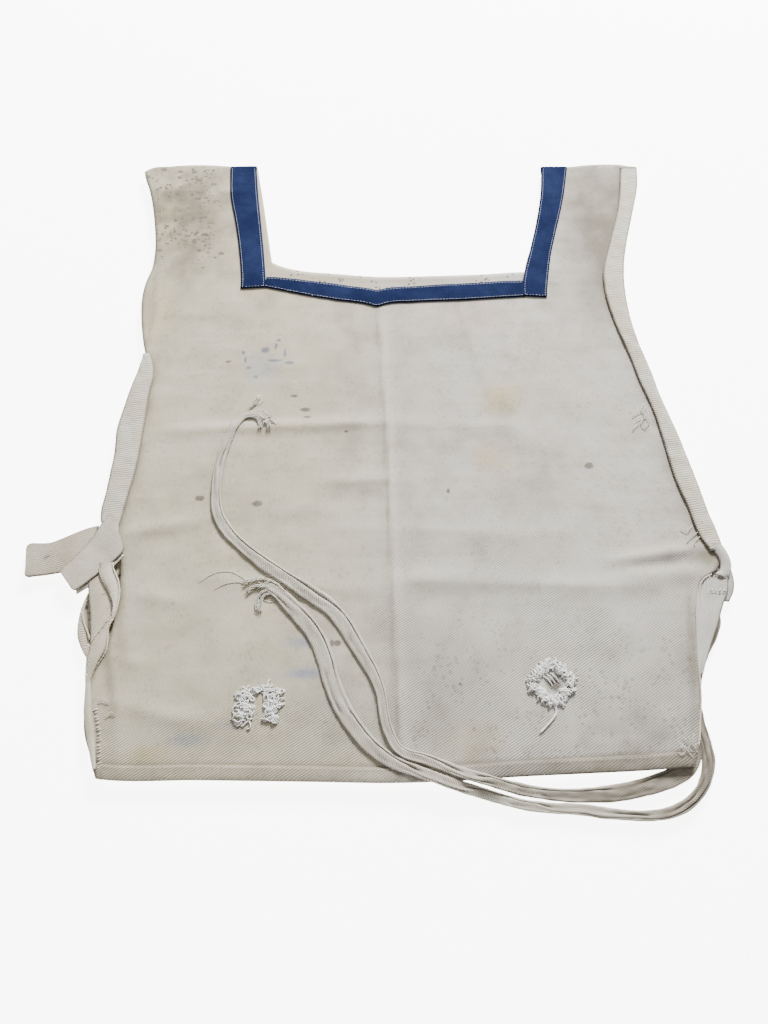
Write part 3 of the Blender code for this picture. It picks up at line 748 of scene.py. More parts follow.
def frayed_end(name, strands, start, heading, count, reach, material, seed, curl):
    """Ravelled end of a tie: a few thick strands, and fine threads fanning out."""
    random = np.random.RandomState(seed)
    paths = []
    for line in strands:
        flat = resample(line, 18)
        normal = np.gradient(flat, axis=0)
        normal = np.column_stack((-normal[:, 1], normal[:, 0])) / np.linalg.norm(normal, axis=1)[:, None]
        for ply in range(5):
            turn = np.linspace(0.0, 7.0, 18) + ply * 1.26
            spread_out = 0.75 + 0.9 * np.linspace(0.0, 1.0, 18) ** 2
            side = flat + normal * (spread_out * np.cos(turn))[:, None]
            paths.append(laid(side, 1.5 + 0.75 * np.sin(turn)))
    for _ in range(count):
        turn = heading + random.normal(0.0, 0.5)
        bend = random.normal(curl, 0.6)
        length = reach * random.uniform(0.4, 1.1)
        across = random.uniform(-3.6, 3.6)
        point = (start[0] - math.sin(heading) * across, start[1] + math.cos(heading) * across)
        paths.append(wandering(
            point, length, lambda share: turn + bend * share,
            lambda share: 0.4 + 1.9 * math.sin(math.pi * min(share + 0.15, 1.0)),
        ))
    return tubes(name, paths, 0.36, material, 5)


UPPER_STRANDS = (
    ((-147, 300), (-142, 312), (-133, 321.5), (-122, 321), (-115, 313.5), (-112.5, 303)),
    ((-144, 306), (-136, 316.5), (-127, 317.5), (-121.5, 311), (-121, 303.5)),
    ((-146, 304), (-140, 317), (-132, 328), (-127, 334), (-124.5, 341)),
    ((-148, 300), (-142, 314), (-131, 322.5), (-120, 323), (-112.5, 317)),
)
LOWER_STRANDS = (
    ((-92, 144), (-101, 152), (-110, 155), (-118, 153.5), (-123, 149)),
    ((-90, 149), (-99, 157.5), (-109, 161), (-119, 160), (-126, 157)),
    ((-96, 147), (-105, 151), (-111.5, 148), (-113.5, 140.5), (-112, 133.5)),
    ((-96, 146), (-103, 148.5), (-108.5, 146), (-110, 139.5), (-110.5, 132)),
)
UPPER_HAIRS = (((-124, 316), (-116, 318), (-110, 312)), ((-128, 330), (-122, 333), (-119, 338)))
LOWER_HAIRS = (
    ((-118, 155), (-130, 158.5), (-141, 157), (-150, 152)), ((-120, 158), (-138, 168), (-152, 166), (-163, 158)),
    ((-108, 143), (-101, 141.5), (-96, 143)),
)
TIES = (
    # name, route, seed, width along it, length, strands, loose hairs, bend of the fray, seed of the fray
    ("upper", UPPER_ROUTE, 0.4, curve(
        (0, 0.7), (0.03, 0.9), (0.08, 1.1), (0.14, 1.35), (0.20, 1.62), (0.25, 1.4), (0.34, 1.0), (0.45, 0.95),
        (0.55, 1.0), (0.63, 1.5), (0.69, 1.55), (0.75, 1.25), (0.82, 1.2), (0.88, 1.0), (1.0, 0.75),
    ), 0.744, UPPER_STRANDS, UPPER_HAIRS, -0.9, 7),
    ("lower", LOWER_ROUTE, 2.6, curve(
        (0, 0.6), (0.03, 0.75), (0.08, 0.9), (0.14, 1.0), (0.24, 1.05), (0.35, 0.95), (0.5, 0.9), (0.66, 1.05),
        (0.76, 1.5), (0.92, 1.6), (0.97, 1.3), (1.0, 0.9),
    ), 0.569, LOWER_STRANDS, LOWER_HAIRS, 1.1, 11),
)


def make_ties():
    """The two long ties, each with its frayed end and a few loose hairs."""
    cloth = ribbed_cotton("tie_cotton", (0.500, 0.455, 0.370, 1.0), (0.610, 0.570, 0.490, 1.0), 0.9, 0.0016, 0.50)
    thread = thread_material("frayed_thread", (0.68, 0.65, 0.57, 1.0), (0.50, 0.46, 0.39, 1.0))
    for which, route, seed, wide, length, strands, hairs, curl, fray_seed in TIES:
        piece, path = folded_tie("long_tie_" + which, route, cloth, seed, wide)
        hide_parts("right_tie_" + which)
        ahead = path[-1] - path[-3]
        heading = math.atan2(ahead[1], ahead[0])
        frays = frayed_end("frayed_end_" + which, strands, path[-1][:2], heading, 12, 11.0, thread, fray_seed, curl)
        fine = [laid(resample(hair, 14), 0.45) for hair in hairs]
        hair = tubes("loose_hair_" + which, fine, 0.22, thread, 5)
        for soft in (piece, hair, frays):
            finish(soft, "front")


# ---------------------------------------------------------------- cloth body
LEFT_COLUMNS, NECK_COLUMNS, RIGHT_COLUMNS = 34, 78, 34
FOLD_ROWS = 7


def grid_row(side_lines, heights):
    """x of every grid column: strap, neck and strap again; each line is read at its own height."""
    outer_left, inner_left, inner_right, outer_right = (
        float(line(height)) for line, height in zip(side_lines, heights)
    )
    return np.concatenate((
        np.linspace(outer_left, inner_left, LEFT_COLUMNS + 1)[:-1],
        np.linspace(inner_left, inner_right, NECK_COLUMNS + 1)[:-1],
        np.linspace(inner_right, outer_right, RIGHT_COLUMNS + 1),
    ))


def cloth_grid(side_lines, neck_corners, neckline, height):
    """Rows from the hem to the neckline and on up the straps; returns points and the row of the neckline."""
    hem_rows = np.array((0.0, 1.2, 3.0, 5.5, 8.0, 9.6, 10.6, 11.4, 12.6, 15.0)) / 460.0
    lower = np.concatenate((hem_rows, np.linspace(19.0, 456.0, 150) / 460.0, [1.0]))
    upper = np.linspace(0.0, 1.0, 56)[1:]
    corners = np.array((-240.0, neck_corners[0], neck_corners[1], 240.0))
    rows = []
    for low_line, high_line, shares in ((HEM, neckline, lower), (neckline, TOP_LINE, upper)):
        for share in shares:
            heights = low_line(corners) * (1 - share) + high_line(corners) * share
            inner = np.maximum(heights, neckline(corners))
            x = grid_row(side_lines, (heights[0], inner[1], inner[2], heights[3]))
            rows.append(np.column_stack((x, low_line(x) * (1 - share) + high_line(x) * share)))
    flat = np.array(rows)
    z = height(flat[..., 0], flat[..., 1])
    return np.concatenate((flat, z[..., None]), axis=2), len(lower) - 1


def front_details(grid):
    """Hem turning and rolled edges of the front."""
    x, y = grid[..., 0], grid[..., 1]
    above_hem = y - HEM(x)
    grid[..., 2] += 0.75 * smooth_step(HEM_DEPTH + 0.7, HEM_DEPTH - 0.3, above_hem)
    grid[..., 2] -= 0.45 * np.exp(-((above_hem - HEM_DEPTH - 1.2) / 0.9) ** 2)
    grid[..., 2] -= 0.9 * smooth_step(2.5, 0.0, above_hem)
    return grid


def make_cloth():
    """Front and back in one cloth that turns over at the shoulders."""
    columns = LEFT_COLUMNS + NECK_COLUMNS + RIGHT_COLUMNS + 1
    front_sides = (FRONT_LEFT, FRONT_NECK_LEFT, FRONT_NECK_RIGHT, FRONT_RIGHT)
    back_sides = (BACK_LEFT, BACK_NECK_LEFT, BACK_NECK_RIGHT, BACK_RIGHT)
    front, neck_row = cloth_grid(front_sides, (-126.0, 131.0), FRONT_NECKLINE, front_height)
    front = front_details(front)
    back, back_neck_row = cloth_grid(back_sides, (-121.0, 133.0), BACK_NECKLINE, back_height)
    rows = len(front)

    def keep(first_open):
        return lambda row, column: not (
            row >= first_open and LEFT_COLUMNS <= column < LEFT_COLUMNS + NECK_COLUMNS
        )

    vertices = [front.reshape(-1, 3), back.reshape(-1, 3)]
    faces = grid_faces(rows, columns, 0, keep(neck_row))
    back_faces = grid_faces(rows, columns, rows * columns, keep(back_neck_row))
    faces += [face[::-1] for face in back_faces]
    top_front, top_back = front[-1], back[-1]
    total = 2 * rows * columns
    for step in range(1, FOLD_ROWS):
        angle = math.pi * step / FOLD_ROWS
        share = (1 - math.cos(angle)) / 2
        line = top_front * (1 - share) + top_back * share
        radius = (top_front[:, 2] - top_back[:, 2]) / 2
        line[:, 1] = top_front[:, 1] + 0.95 * radius * math.sin(angle)
        vertices.append(line)

    def row_start(step):
        if step == 0:
            return (rows - 1) * columns
        if step == FOLD_ROWS:
            return rows * columns + (rows - 1) * columns
        return total + (step - 1) * columns

    for step in range(FOLD_ROWS):
        here, there = row_start(step), row_start(step + 1)
        for column in range(columns - 1):
            if LEFT_COLUMNS <= column < LEFT_COLUMNS + NECK_COLUMNS:
                continue
            faces.append((here + column, here + column + 1, there + column + 1, there + column))
    points = np.concatenate([block.reshape(-1, 3) for block in vertices])
    pattern = points.copy()
    pattern[rows * columns:total, 1] = 2 * FOLD - pattern[rows * columns:total, 1]
    used, corners = np.unique(np.array(faces), return_inverse=True)
    faces = corners.reshape(-1, 4).tolist()
    cloth = build_mesh("apron_cloth", points[used], faces, cotton_cloth(), pattern[used])
    thicken(cloth, CLOTH_THICK)
    flat = np.empty(len(cloth.data.vertices) * 3)
    cloth.data.attributes["pattern"].data.foreach_get("vector", flat)
    x, y = flat[0::3] * 1000.0, flat[1::3] * 1000.0
    # painted shade and highlight of creases, seams and edges, with mottling and soiled patches, kept with the
    # points
    keep_tone(cloth, np.where(y < FOLD + 1, cloth_tone(x, np.minimum(y, FOLD)), 0.0))
    store(cloth.data, "stain_and_shade", "FLOAT_COLOR", "color", cloth_stain_and_shade(x, y))
    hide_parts("front_panel", "back_panel")
    cross_fold(cloth)


CREASE_SHADES = (
    # start, end, width, darkness of the painted shade along each crease; a painted highlight, a paler line, runs
    # beside each, above it or to its right
    ((-15, 440), (-7, 300), 2.6, 0.75), ((-7, 300), (-2, 150), 2.6, 0.95), ((-2, 150), (4, 6), 2.8, 0.80),
    ((-170, 302), (-20, 309), 4, 0.60), ((-12, 308), (110, 305), 4, 0.35), ((-60, 250), (0, 252), 3, 0.45),
    ((-40, 205), (140, 200), 4, 0.30), ((-160, 158), (-60, 153), 4, 0.40), ((0, 158), (225, 152), 4.5, 0.55),
    ((150, 230), (240, 222), 4, 0.30), ((258, 184), (190, 173), 5.5, 0.32), ((-238, 120), (-222, 60), 3.5, 0.80),
    ((-230, 170), (-224, 120), 3.5, 0.55), ((-222, 60), (-215, 20), 4, 0.40), ((246, 150), (236, 60), 3.2, 0.85),
    ((-227, 165), (-221, 70), 8, 0.55), ((-150, 592), (-240, 596), 4, 0.25), ((238, 60), (226, 24), 4, 0.45),
    ((-130, 430), (-215, 432), 4.5, 0.20), ((60, 452), (90, 330), 4.5, 0.25),
    ((-233, 440), (-236, 400), 2.6, 0.50), ((-238, 500), (-236, 440), 2.8, 0.35),
)


SHADE_AND_GRIME_PATCHES = (
    # darker patches, painted shade on the straps and a blotchy patch above the hem at the right: x, y, width,
    # height, darkness, size and seed of its blotches
    (-218, 565, 50, 85, 0.85, (22.0, 81.0)), (215, 560, 42, 110, 1.0, None), (190, 30, 60, 22, 0.34, (18.0, 83.0)),
)


def cloth_stain_and_shade(x, y):
    """Colour and strength of the faded stains, and of the painted shade patches, at each point."""
    ragged = 1 + 0.6 * bump_field(0.3 * x, y, 7.0, 91.0, 3)
    colour, cover = np.zeros((len(x), 3)), np.zeros(len(x))
    for centre_x, centre_y, width, height, tone, amount in SMEARS_AND_PAINTED_SHADE:
        away = np.hypot((x - centre_x) / width, (y - centre_y) / height)
        share = np.clip(amount * smooth_step(1.0, 0.1, away) * ragged, 0.0, 1.0)
        both = share + cover * (1 - share)
        under = cover * (1 - share)
        mixed = share[:, None] * np.array(tone[:3]) + under[:, None] * colour
        colour = mixed / np.maximum(both, 1e-6)[:, None]
        cover = both
    return np.column_stack((colour, cover))


def cloth_tone(x, y):
    """Painted shade and highlight: creases as dark and pale lines, painted shade under the trimmings and along the
    edges and hem, with random mottling and soiled patches; -1 dark to 1 pale.
    """
    tone = 0.30 * bump_field(x, y, 28.0, 61.0, 4) + 0.28 * bump_field(x, y, 110.0, 71.0, 2)
    # painted shade along each crease, and a painted highlight beside it
    for start, end, width, dark in CREASE_SHADES:
        along = np.array(end, float) - np.array(start, float)
        along /= np.linalg.norm(along)
        side = np.array((along[1], -along[0]))
        if side[0] + side[1] < 0:
            side = -side
        shift = side * 1.9 * width
        tone = tone - ridge(x, y, start, end, width, 0.75 * dark)
        tone = tone + ridge(x, y, np.array(start) + shift, np.array(end) + shift, 1.4 * width, 0.55 * dark)
    # painted shadow in the gap along the inner edge of the right facing
    tone = tone - 0.55 * np.exp(-np.clip(FACING_RIGHT_IN(y) - x, 0, None) / 4.0) * smooth_step(175, 190, y)
    # painted shadow along the inner edge of the left facing
    left_gap = np.clip(x - FACING_LEFT_IN(y), 0, None)
    tone = tone - 0.75 * np.exp(-left_gap / 3.2) * smooth_step(196, 206, y) * smooth_step(394, 386, y)
    # painted shade just under the blue band across the neck
    under_cross = CROSS_LOW(x) - y
    inside = smooth_step(-135, -128, x) * smooth_step(139, 132, x)
    tone = tone - 0.35 * np.exp(-np.clip(under_cross, 0, None) / 3.0) * inside * (under_cross > -3)
    # painted shade along the side edges of the cloth
    edge = np.minimum(x - FRONT_LEFT(y), FRONT_RIGHT(y) - x)
    tone = tone - 0.45 * np.exp(-np.clip(edge, 0, None) / 2.2)
    # painted shade along the neckline
    neck = np.minimum(np.abs(FRONT_NECKLINE(x) - y), 30.0)
    tone = tone - 0.2 * np.exp(-neck / 2.0) * inside
    # painted shade in the groove above the hem and along the bottom edge; the hem strip itself is darker, more so
    # towards the right
    hem = y - HEM(x)
    tone = tone - 0.95 * np.exp(-((hem - HEM_DEPTH - 0.8) / 1.1) ** 2) - 0.25 * smooth_step(2.0, 0.0, hem)
    tone = tone - (0.34 + 0.50 * smooth_step(40.0, 140.0, x)) * smooth_step(HEM_DEPTH, HEM_DEPTH - 1.0, hem)
    # painted shade on the straps, and the darker blotchy patch above the right of the hem
    for middle_x, middle_y, width, height, dark, blotches in SHADE_AND_GRIME_PATCHES:
        patch = np.exp(-((x - middle_x) / width) ** 2 - ((y - middle_y) / height) ** 2)
        if blotches:
            patch = patch * (1 + bump_field(x, y, blotches[0], blotches[1], 3))
        tone = tone - dark * patch
    return np.clip(tone, -1, 1)


# ---------------------------------------------------------------- strips laid on the cloth
def on_front(lift):
    """Height function for something lying that far above the front cloth."""
    return lambda x, y, along, across: front_height(x, y) + CLOTH_THICK / 2 + lift


def ruled(name, first, second, rows, columns, height, material, thick, over_fold=False, edge_dark=0.9,
          marks=()):
    """A closed piece of cloth between two lines of points, its middle at a height read from place and shares.

    Its edges are darkened with painted shade, and each mark (x, y, size) is a soft dark spot.
    """
    first, second = resample(first, rows), resample(second, rows)
    across = np.linspace(0.0, 1.0, columns)
    flat = first[:, None, :] * (1 - across)[None, :, None] + second[:, None, :] * across[None, :, None]
    along = np.repeat(np.linspace(0.0, 1.0, rows)[:, None], columns, axis=1)
    z = height(flat[..., 0], flat[..., 1], along, np.repeat(across[None, :], rows, axis=0))
    grid = np.concatenate((flat, z[..., None]), axis=2)
    pattern = np.concatenate((flat, np.zeros_like(z)[..., None]), axis=2).reshape(-1, 3)
    if over_fold:
        grid, extra = turn_over(grid)
        pattern = np.concatenate((pattern, extra))
    piece = build_mesh(name, grid.reshape(-1, 3), grid_faces(len(grid), columns), material, pattern)
    wide = np.linalg.norm(second - first, axis=1)[:, None]
    from_edge = np.minimum(across, 1 - across)[None, :] * wide
    from_end = np.minimum(along, 1 - along) * reach_of(first)
    # painted shade along the edges and ends of the strip
    edge_tone = -np.minimum(edge_dark, wide / 14.0) * np.exp(-np.minimum(from_edge, from_end) / 1.1)
    tone = np.full(grid.shape[:2], -0.2)
    for x, y, size in marks:
        edge_tone = edge_tone - 0.9 * np.exp(-((flat[..., 0] - x) ** 2 + (2 * (flat[..., 1] - y)) ** 2) / size ** 2)
    tone[:rows] = np.maximum(edge_tone, -1.0)
    keep_tone(piece, tone)
    thicken(piece, thick)
    return piece


def crowned(base, crown, ripple=0.0, seed=40.0):
    """Add a rounded crown across a strip, and some ripple, to a height function."""

    def height(x, y, along, across):
        z = base(x, y, along, across) + crown * (1 - (2 * across - 1) ** 4)
        if ripple:
            z = z + ripple * bump_field(x, y, 9.0, seed)
        return z

    return height


FOLD_UNDER = 0.9                          # how high the strip's under end stays above the table


def turn_over(grid):
    """Carry the last row of a strip round the shoulder fold to its underside."""
    last = grid[-1]
    radius = (last[:, 2] - FOLD_UNDER) / 2
    rows, pattern = [], []
    for step in range(1, FOLD_ROWS + 3):
        angle = math.pi * min(step / FOLD_ROWS, 1.0)
        line = last.copy()
        line[:, 2] = last[:, 2] - radius * (1 - math.cos(angle))
        line[:, 1] = last[:, 1] + radius * math.sin(angle)
        if step > FOLD_ROWS:
            line[:, 1] = last[:, 1] - 2.0 * (step - FOLD_ROWS)
        rows.append(line)
        pattern.append(np.column_stack((last[:, 0], last[:, 1] + 1.0 * step, np.zeros(len(last)))))
    return np.concatenate((grid, np.array(rows))), np.concatenate(pattern)


def cross_fold(piece):
    """Bake a piece's placement into its mesh."""
    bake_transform(piece)


BAND_OUTER_LEFT = curve(
    (465, -151), (470, -151), (500, -154), (520, -157), (550, -162.5), (585, -170), (634, -174.5),
)
BAND_OUTER_RIGHT = curve((454, 153), (460, 153.5), (470, 155), (510, 162), (545, 171), (580, 180), (634, 190.5))
BAND_LOW = {"left": 465.0, "right": 454.5}
CROSS_LOW = curve(
    (-128, 467), (-100, 460.5), (-60, 451.5), (-22, 444.8), (-15, 442.3), (-8, 445.2), (20, 448.5), (70, 451),
    (132, 455.5),
)


def make_neck_band():
    """Blue strips round the neck opening, with their light stitching."""
    blue = blue_cotton()
    edges = {"left": (FRONT_NECK_LEFT, BAND_OUTER_LEFT), "right": (FRONT_NECK_RIGHT, BAND_OUTER_RIGHT)}
    thread = thread_material("band_stitching", (0.55, 0.56, 0.58, 1.0), (0.38, 0.40, 0.46, 1.0))
    threads = []
    lying = crowned(on_front(BAND_LIFT + 0.35), 0.3)
    for side, (inner_line, outer_line) in edges.items():
        sign = -1.0 if side == "left" else 1.0
        heights = np.linspace(BAND_LOW[side], 629.0, 60)
        inner = np.column_stack((inner_line(heights + 1.5) - sign * 0.4, heights + 1.5))
        outer = np.column_stack((outer_line(heights), heights))
        inner[:, 1] = np.minimum(inner[:, 1], TOP_LINE(inner[:, 0]) - 0.6)
        band = ruled("blue_band_" + side, inner, outer, 60, 9, lying, blue, 0.7, over_fold=True)
        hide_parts("front_neck_band_" + side)
        cross_fold(band)
        for line, inset in ((inner, 2.2), (outer, -1.8)):
            threads += laid_stitches(line + np.array((sign * inset, 0.0)))
        corners = (inner[0] + np.array((sign * 1.5, 1.8)), outer[0] + np.array((-sign * 1.5, 1.8)))
        threads += laid_stitches(corners[0] + np.linspace(0, 1, 12)[:, None] * (corners[1] - corners[0]))
    across = np.linspace(-126.0, 130.5, 90)
    low_across = np.linspace(-127.5, 131.5, 90)
    top = np.column_stack((across, FRONT_NECKLINE(across) + 0.4))
    low = np.column_stack((low_across, CROSS_LOW(low_across)))
    cross = ruled("blue_band_cross", low, top, 90, 9, crowned(on_front(BAND_LIFT + 0.25), 0.3), blue, 0.7)
    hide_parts("front_neck_band_cross")
    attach(cross, "front")
    for line, shift in ((top, -2.0), (low, 1.8)):
        threads += laid_stitches(line + np.array((0.0, shift)))
    sewn = tubes("band_stitches", threads, 0.24, thread, 5)
    finish(sewn, "front")
    make_under_strips(blue, "neck_band")


def laid_stitches(line, lift=BAND_LIFT + 0.76, pitch=STITCH_PITCH, length=2.3):
    return stitches(laid(line, lift), pitch, length, 0.16)


UNDER_STRIP_MID = 0.45


def make_under_strips(material, kind):
    """The back's own strips, under its cloth and so out of sight from above."""
    under = lambda x, y, along, across: np.full(np.shape(x), UNDER_STRIP_MID)
    heights = np.linspace(222.0, 620.0, 60) if kind == "side_facing" else np.linspace(468.0, 625.0, 30)
    for side, sign in (("left", -1.0), ("right", 1.0)):
        if kind == "side_facing":
            edge = BACK_LEFT(heights) if side == "left" else BACK_RIGHT(heights)
            first, second = edge - sign * 1.5, edge - sign * 20.5
        else:
            edge = BACK_NECK_LEFT(heights) if side == "left" else BACK_NECK_RIGHT(heights)
            first, second = edge + sign * 1.2, edge + sign * 26.0
        lines = [np.column_stack((line, heights)) for line in (first, second)]
        strip = ruled("under_%s_%s" % (kind, side), lines[0], lines[1], 60, 5, under, material, 0.5)
        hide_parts("back_%s_%s" % (kind, side))
        finish(strip, "back")
    if kind == "neck_band":
        across = np.linspace(-117.0, 131.0, 70)
        top = np.column_stack((across, BACK_NECKLINE(across) - 1.5))
        low = top - np.array((0.0, 20.0))
        strip = ruled("under_neck_band_cross", low, top, 70, 5, under, material, 0.5)
        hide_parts("back_neck_band_cross")
        finish(strip, "back")


FACING_RIGHT_IN = curve(
    (182, 271.5), (200, 262.5), (225, 257), (250, 250.5), (290, 245), (325, 240), (355, 232), (380, 227),
    (430, 215), (465, 211), (485, 212), (520, 222), (570, 237), (630, 247.5),
)
FACING_LEFT_IN = curve(
    (206, -236.5), (235, -233), (260, -229.5), (310, -227), (345, -226.5), (362, -225), (375, -227.5),
    (388, -233),
)


def make_facings():
    """Ribbed strips on the side edges."""
    ribbed = ribbed_cotton("facing_cotton", FACING_TONE, FACING_PALE, 0.15, 0.0021, 0.15)
    lying = crowned(on_front(1.0), 0.9, 0.5)
    heights = np.linspace(186.0, 628.0, 150)
    outer = np.column_stack((FRONT_RIGHT(heights) + 1.2, heights))
    inner = np.column_stack((FACING_RIGHT_IN(heights), heights))
    right = ruled("side_facing_right", inner, outer, 150, 9, lying, ribbed, 0.9, over_fold=True)
    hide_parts("front_side_facing_right")
    cross_fold(right)
    heights = np.linspace(209.0, 387.0, 70)
    outer = np.column_stack((FRONT_LEFT(heights) - 1.2, heights))
    inner = np.column_stack((FACING_LEFT_IN(heights), heights))
    left = ruled("side_facing_left", outer, inner, 70, 9, lying, ribbed, 0.9)
    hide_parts("front_side_facing_left")
    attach(left, "front")
    make_under_strips(ribbed, "side_facing")


# ---------------------------------------------------------------- short ties and the sides
BACK_STUB_TOP = (
    (-256.2, 211.5), (-264, 209.5), (-270, 207), (-286, 199), (-295, 195.3), (-306, 195), (-312, 194.9),
    (-314.6, 193.4), (-315.3, 190.5),
)
BACK_STUB_LOW = (
    (-259.6, 176), (-266, 173), (-275, 169.5), (-283, 168.3), (-296, 166), (-304, 165), (-308.5, 164.3),
    (-311.3, 165.4), (-312, 168),
)
FRONT_STUB_TOP = (
    (-246, 220), (-251.5, 211), (-259.5, 196), (-266.5, 186), (-274, 176.5), (-278.6, 172), (-280.4, 169.3),
    (-279.8, 166.6),
)
FRONT_STUB_LOW = (
    (-236.5, 213), (-235, 203), (-229.5, 187.5), (-240, 174), (-252.5, 162), (-263, 153), (-265.8, 151.2),
    (-268.6, 152.8),
)


def across_hinge(piece):
    """Bake a piece's placement into its mesh."""
    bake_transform(piece)


def make_stubs():
    """The two short ties on the left, folded double and cut off."""
    tape = ribbed_cotton("stub_cotton", (0.440, 0.385, 0.285, 1.0), (0.560, 0.505, 0.400, 1.0), 0.35, 0.0017, 0.25)
    dull, clean = (0.520, 0.465, 0.365, 1.0), (0.630, 0.585, 0.490, 1.0)
    pale = ribbed_cotton("front_stub_cotton", dull, clean, 1.0, 0.0015, 0.14)

    def back_height_at(x, y, along, across):
        wave_up = 0.9 * np.sin(3.0 * along + 1.6 * across) ** 2
        return 1.9 + wave_up * smooth_step(0.05, 0.4, along) + 0.5 * np.sin(math.pi * across)

    stub = ruled("left_back_stub", BACK_STUB_TOP, BACK_STUB_LOW, 40, 20, back_height_at, tape, 1.3,
                 marks=((-297, 181.5, 2.2), (-294.5, 183, 2.0)))
    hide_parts("left_back_tie")
    finish(stub, "left_back_tie")

    def front_height_at(x, y, along, across):
        return 8.4 - 1.6 * smooth_step(0.05, 0.55, along) + 1.0 * np.sin(math.pi * across) * (1 - 0.5 * along)

    stub = ruled("left_front_stub", FRONT_STUB_TOP, FRONT_STUB_LOW, 40, 20, front_height_at, pale, 1.0)
    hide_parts("left_front_tie")
    across_hinge(stub)
    inner = np.array(((-236.0, 184.0), (-244.0, 175.5), (-255.0, 165.5), (-266.0, 155.5)))
    outer = np.array(((-228.6, 183.0), (-239.6, 169.6), (-252.2, 157.4), (-264.5, 148.4)))
    under = ruled("left_front_stub_under", inner, outer, 24, 6,
                  lambda x, y, along, across: 5.6 - 0.5 * along + 0.25 * np.sin(5 * along), pale, 1.2,
                  edge_dark=0.15)
    finish(under, "left_front_tie")


def arch(base, rise, fall=0.0, lean=0.0):
    """Height of a strip that is crowned across, falls along its length and leans to one side."""
    return lambda x, y, along, across: base + rise * np.sin(math.pi * across) - fall * along + lean * across


def last_turn(x, y, along, across):
    """Height of the last twist of the left hem, which flattens at its end."""
    return 6.6 + 1.4 * across + 0.8 * np.sin(math.pi * across) - 1.6 * smooth_step(0.6, 1.0, along)


LEFT_LEAVES = (
    # name, first line, second line, height
    ("left_hem_leaf_low",
     ((-256, 158), (-253.5, 145), (-251, 134), (-249, 123), (-246.5, 110), (-245.5, 104)),
     ((-243, 168), (-240, 156), (-234, 147), (-231.5, 135), (-236, 122), (-244.5, 105)), arch(5.4, 1.1, 0.6)),
    ("left_hem_leaf_top",
     ((-248, 176), (-245.5, 164), (-241.5, 157.5), (-235.5, 148.5), (-231.8, 141), (-231, 128)),
     ((-237.5, 176), (-236.5, 171), (-231.5, 161), (-228.6, 152), (-228.2, 140), (-229.5, 126.5)),
     arch(8.0, 0.9, 0.0, -1.5)),
    ("left_hem_leaf_turn",
     ((-232, 130), (-238, 121), (-244.6, 110), (-246.6, 98), (-246.2, 88), (-244.4, 73)),
     ((-229.6, 127.5), (-232.8, 120), (-232.4, 110), (-232.6, 101), (-236.5, 92), (-243, 73)), last_turn),
)
LEAF_MARKS = ((-237, 119, 1.8), (-239.5, 115, 1.6), (-241, 148, 2.0), (-236, 143, 1.2))
LEFT_RIMS = (
    # line, height at its start and at its end
    (((-248, 176), (-245.5, 164), (-241.5, 157.5), (-235.5, 148.5), (-231.6, 141), (-230.6, 133), (-231.5, 128)),
     7.6, 8.4),
    (((-237.3, 176), (-236.3, 171), (-231.2, 161), (-228.4, 152), (-228, 140), (-229.5, 127)), 7.2, 7.4),
    (((-229.8, 129), (-236, 122.5), (-241.5, 114.5), (-245.5, 107)), 8.3, 7.4),
    (((-229.8, 127), (-232.6, 120), (-232.2, 110), (-232.4, 101), (-236.3, 92), (-241, 83), (-244, 73)), 8.2, 6.0),
    (((-246.8, 106), (-247, 98), (-246.5, 88), (-244.8, 74)), 6.9, 5.6),
    (((-258, 134), (-254.6, 123.5), (-250.6, 116.5), (-247.6, 110)), 3.4, 4.2),
)
LOW_HEM_OUT = ((-246, 82), (-244.6, 70), (-244, 62), (-242.6, 50), (-239, 38), (-234, 22), (-229, 8))
LOW_HEM_IN = ((-242.5, 82), (-240.5, 70), (-239, 62), (-237, 52), (-233.5, 40), (-230.6, 26), (-227.5, 10))
BACK_TURN_OUT = ((-256, 150), (-259.2, 138), (-260.2, 127), (-258.7, 113), (-254, 103), (-248.5, 95))
BACK_TURN_IN = ((-254, 149), (-257, 134), (-254, 123), (-250.5, 116), (-248, 110), (-246, 97))
WHIPPED_SEAM = ((-234.5, 54), (-232, 46), (-229.5, 37), (-228, 28), (-226.2, 17), (-225.6, 11))


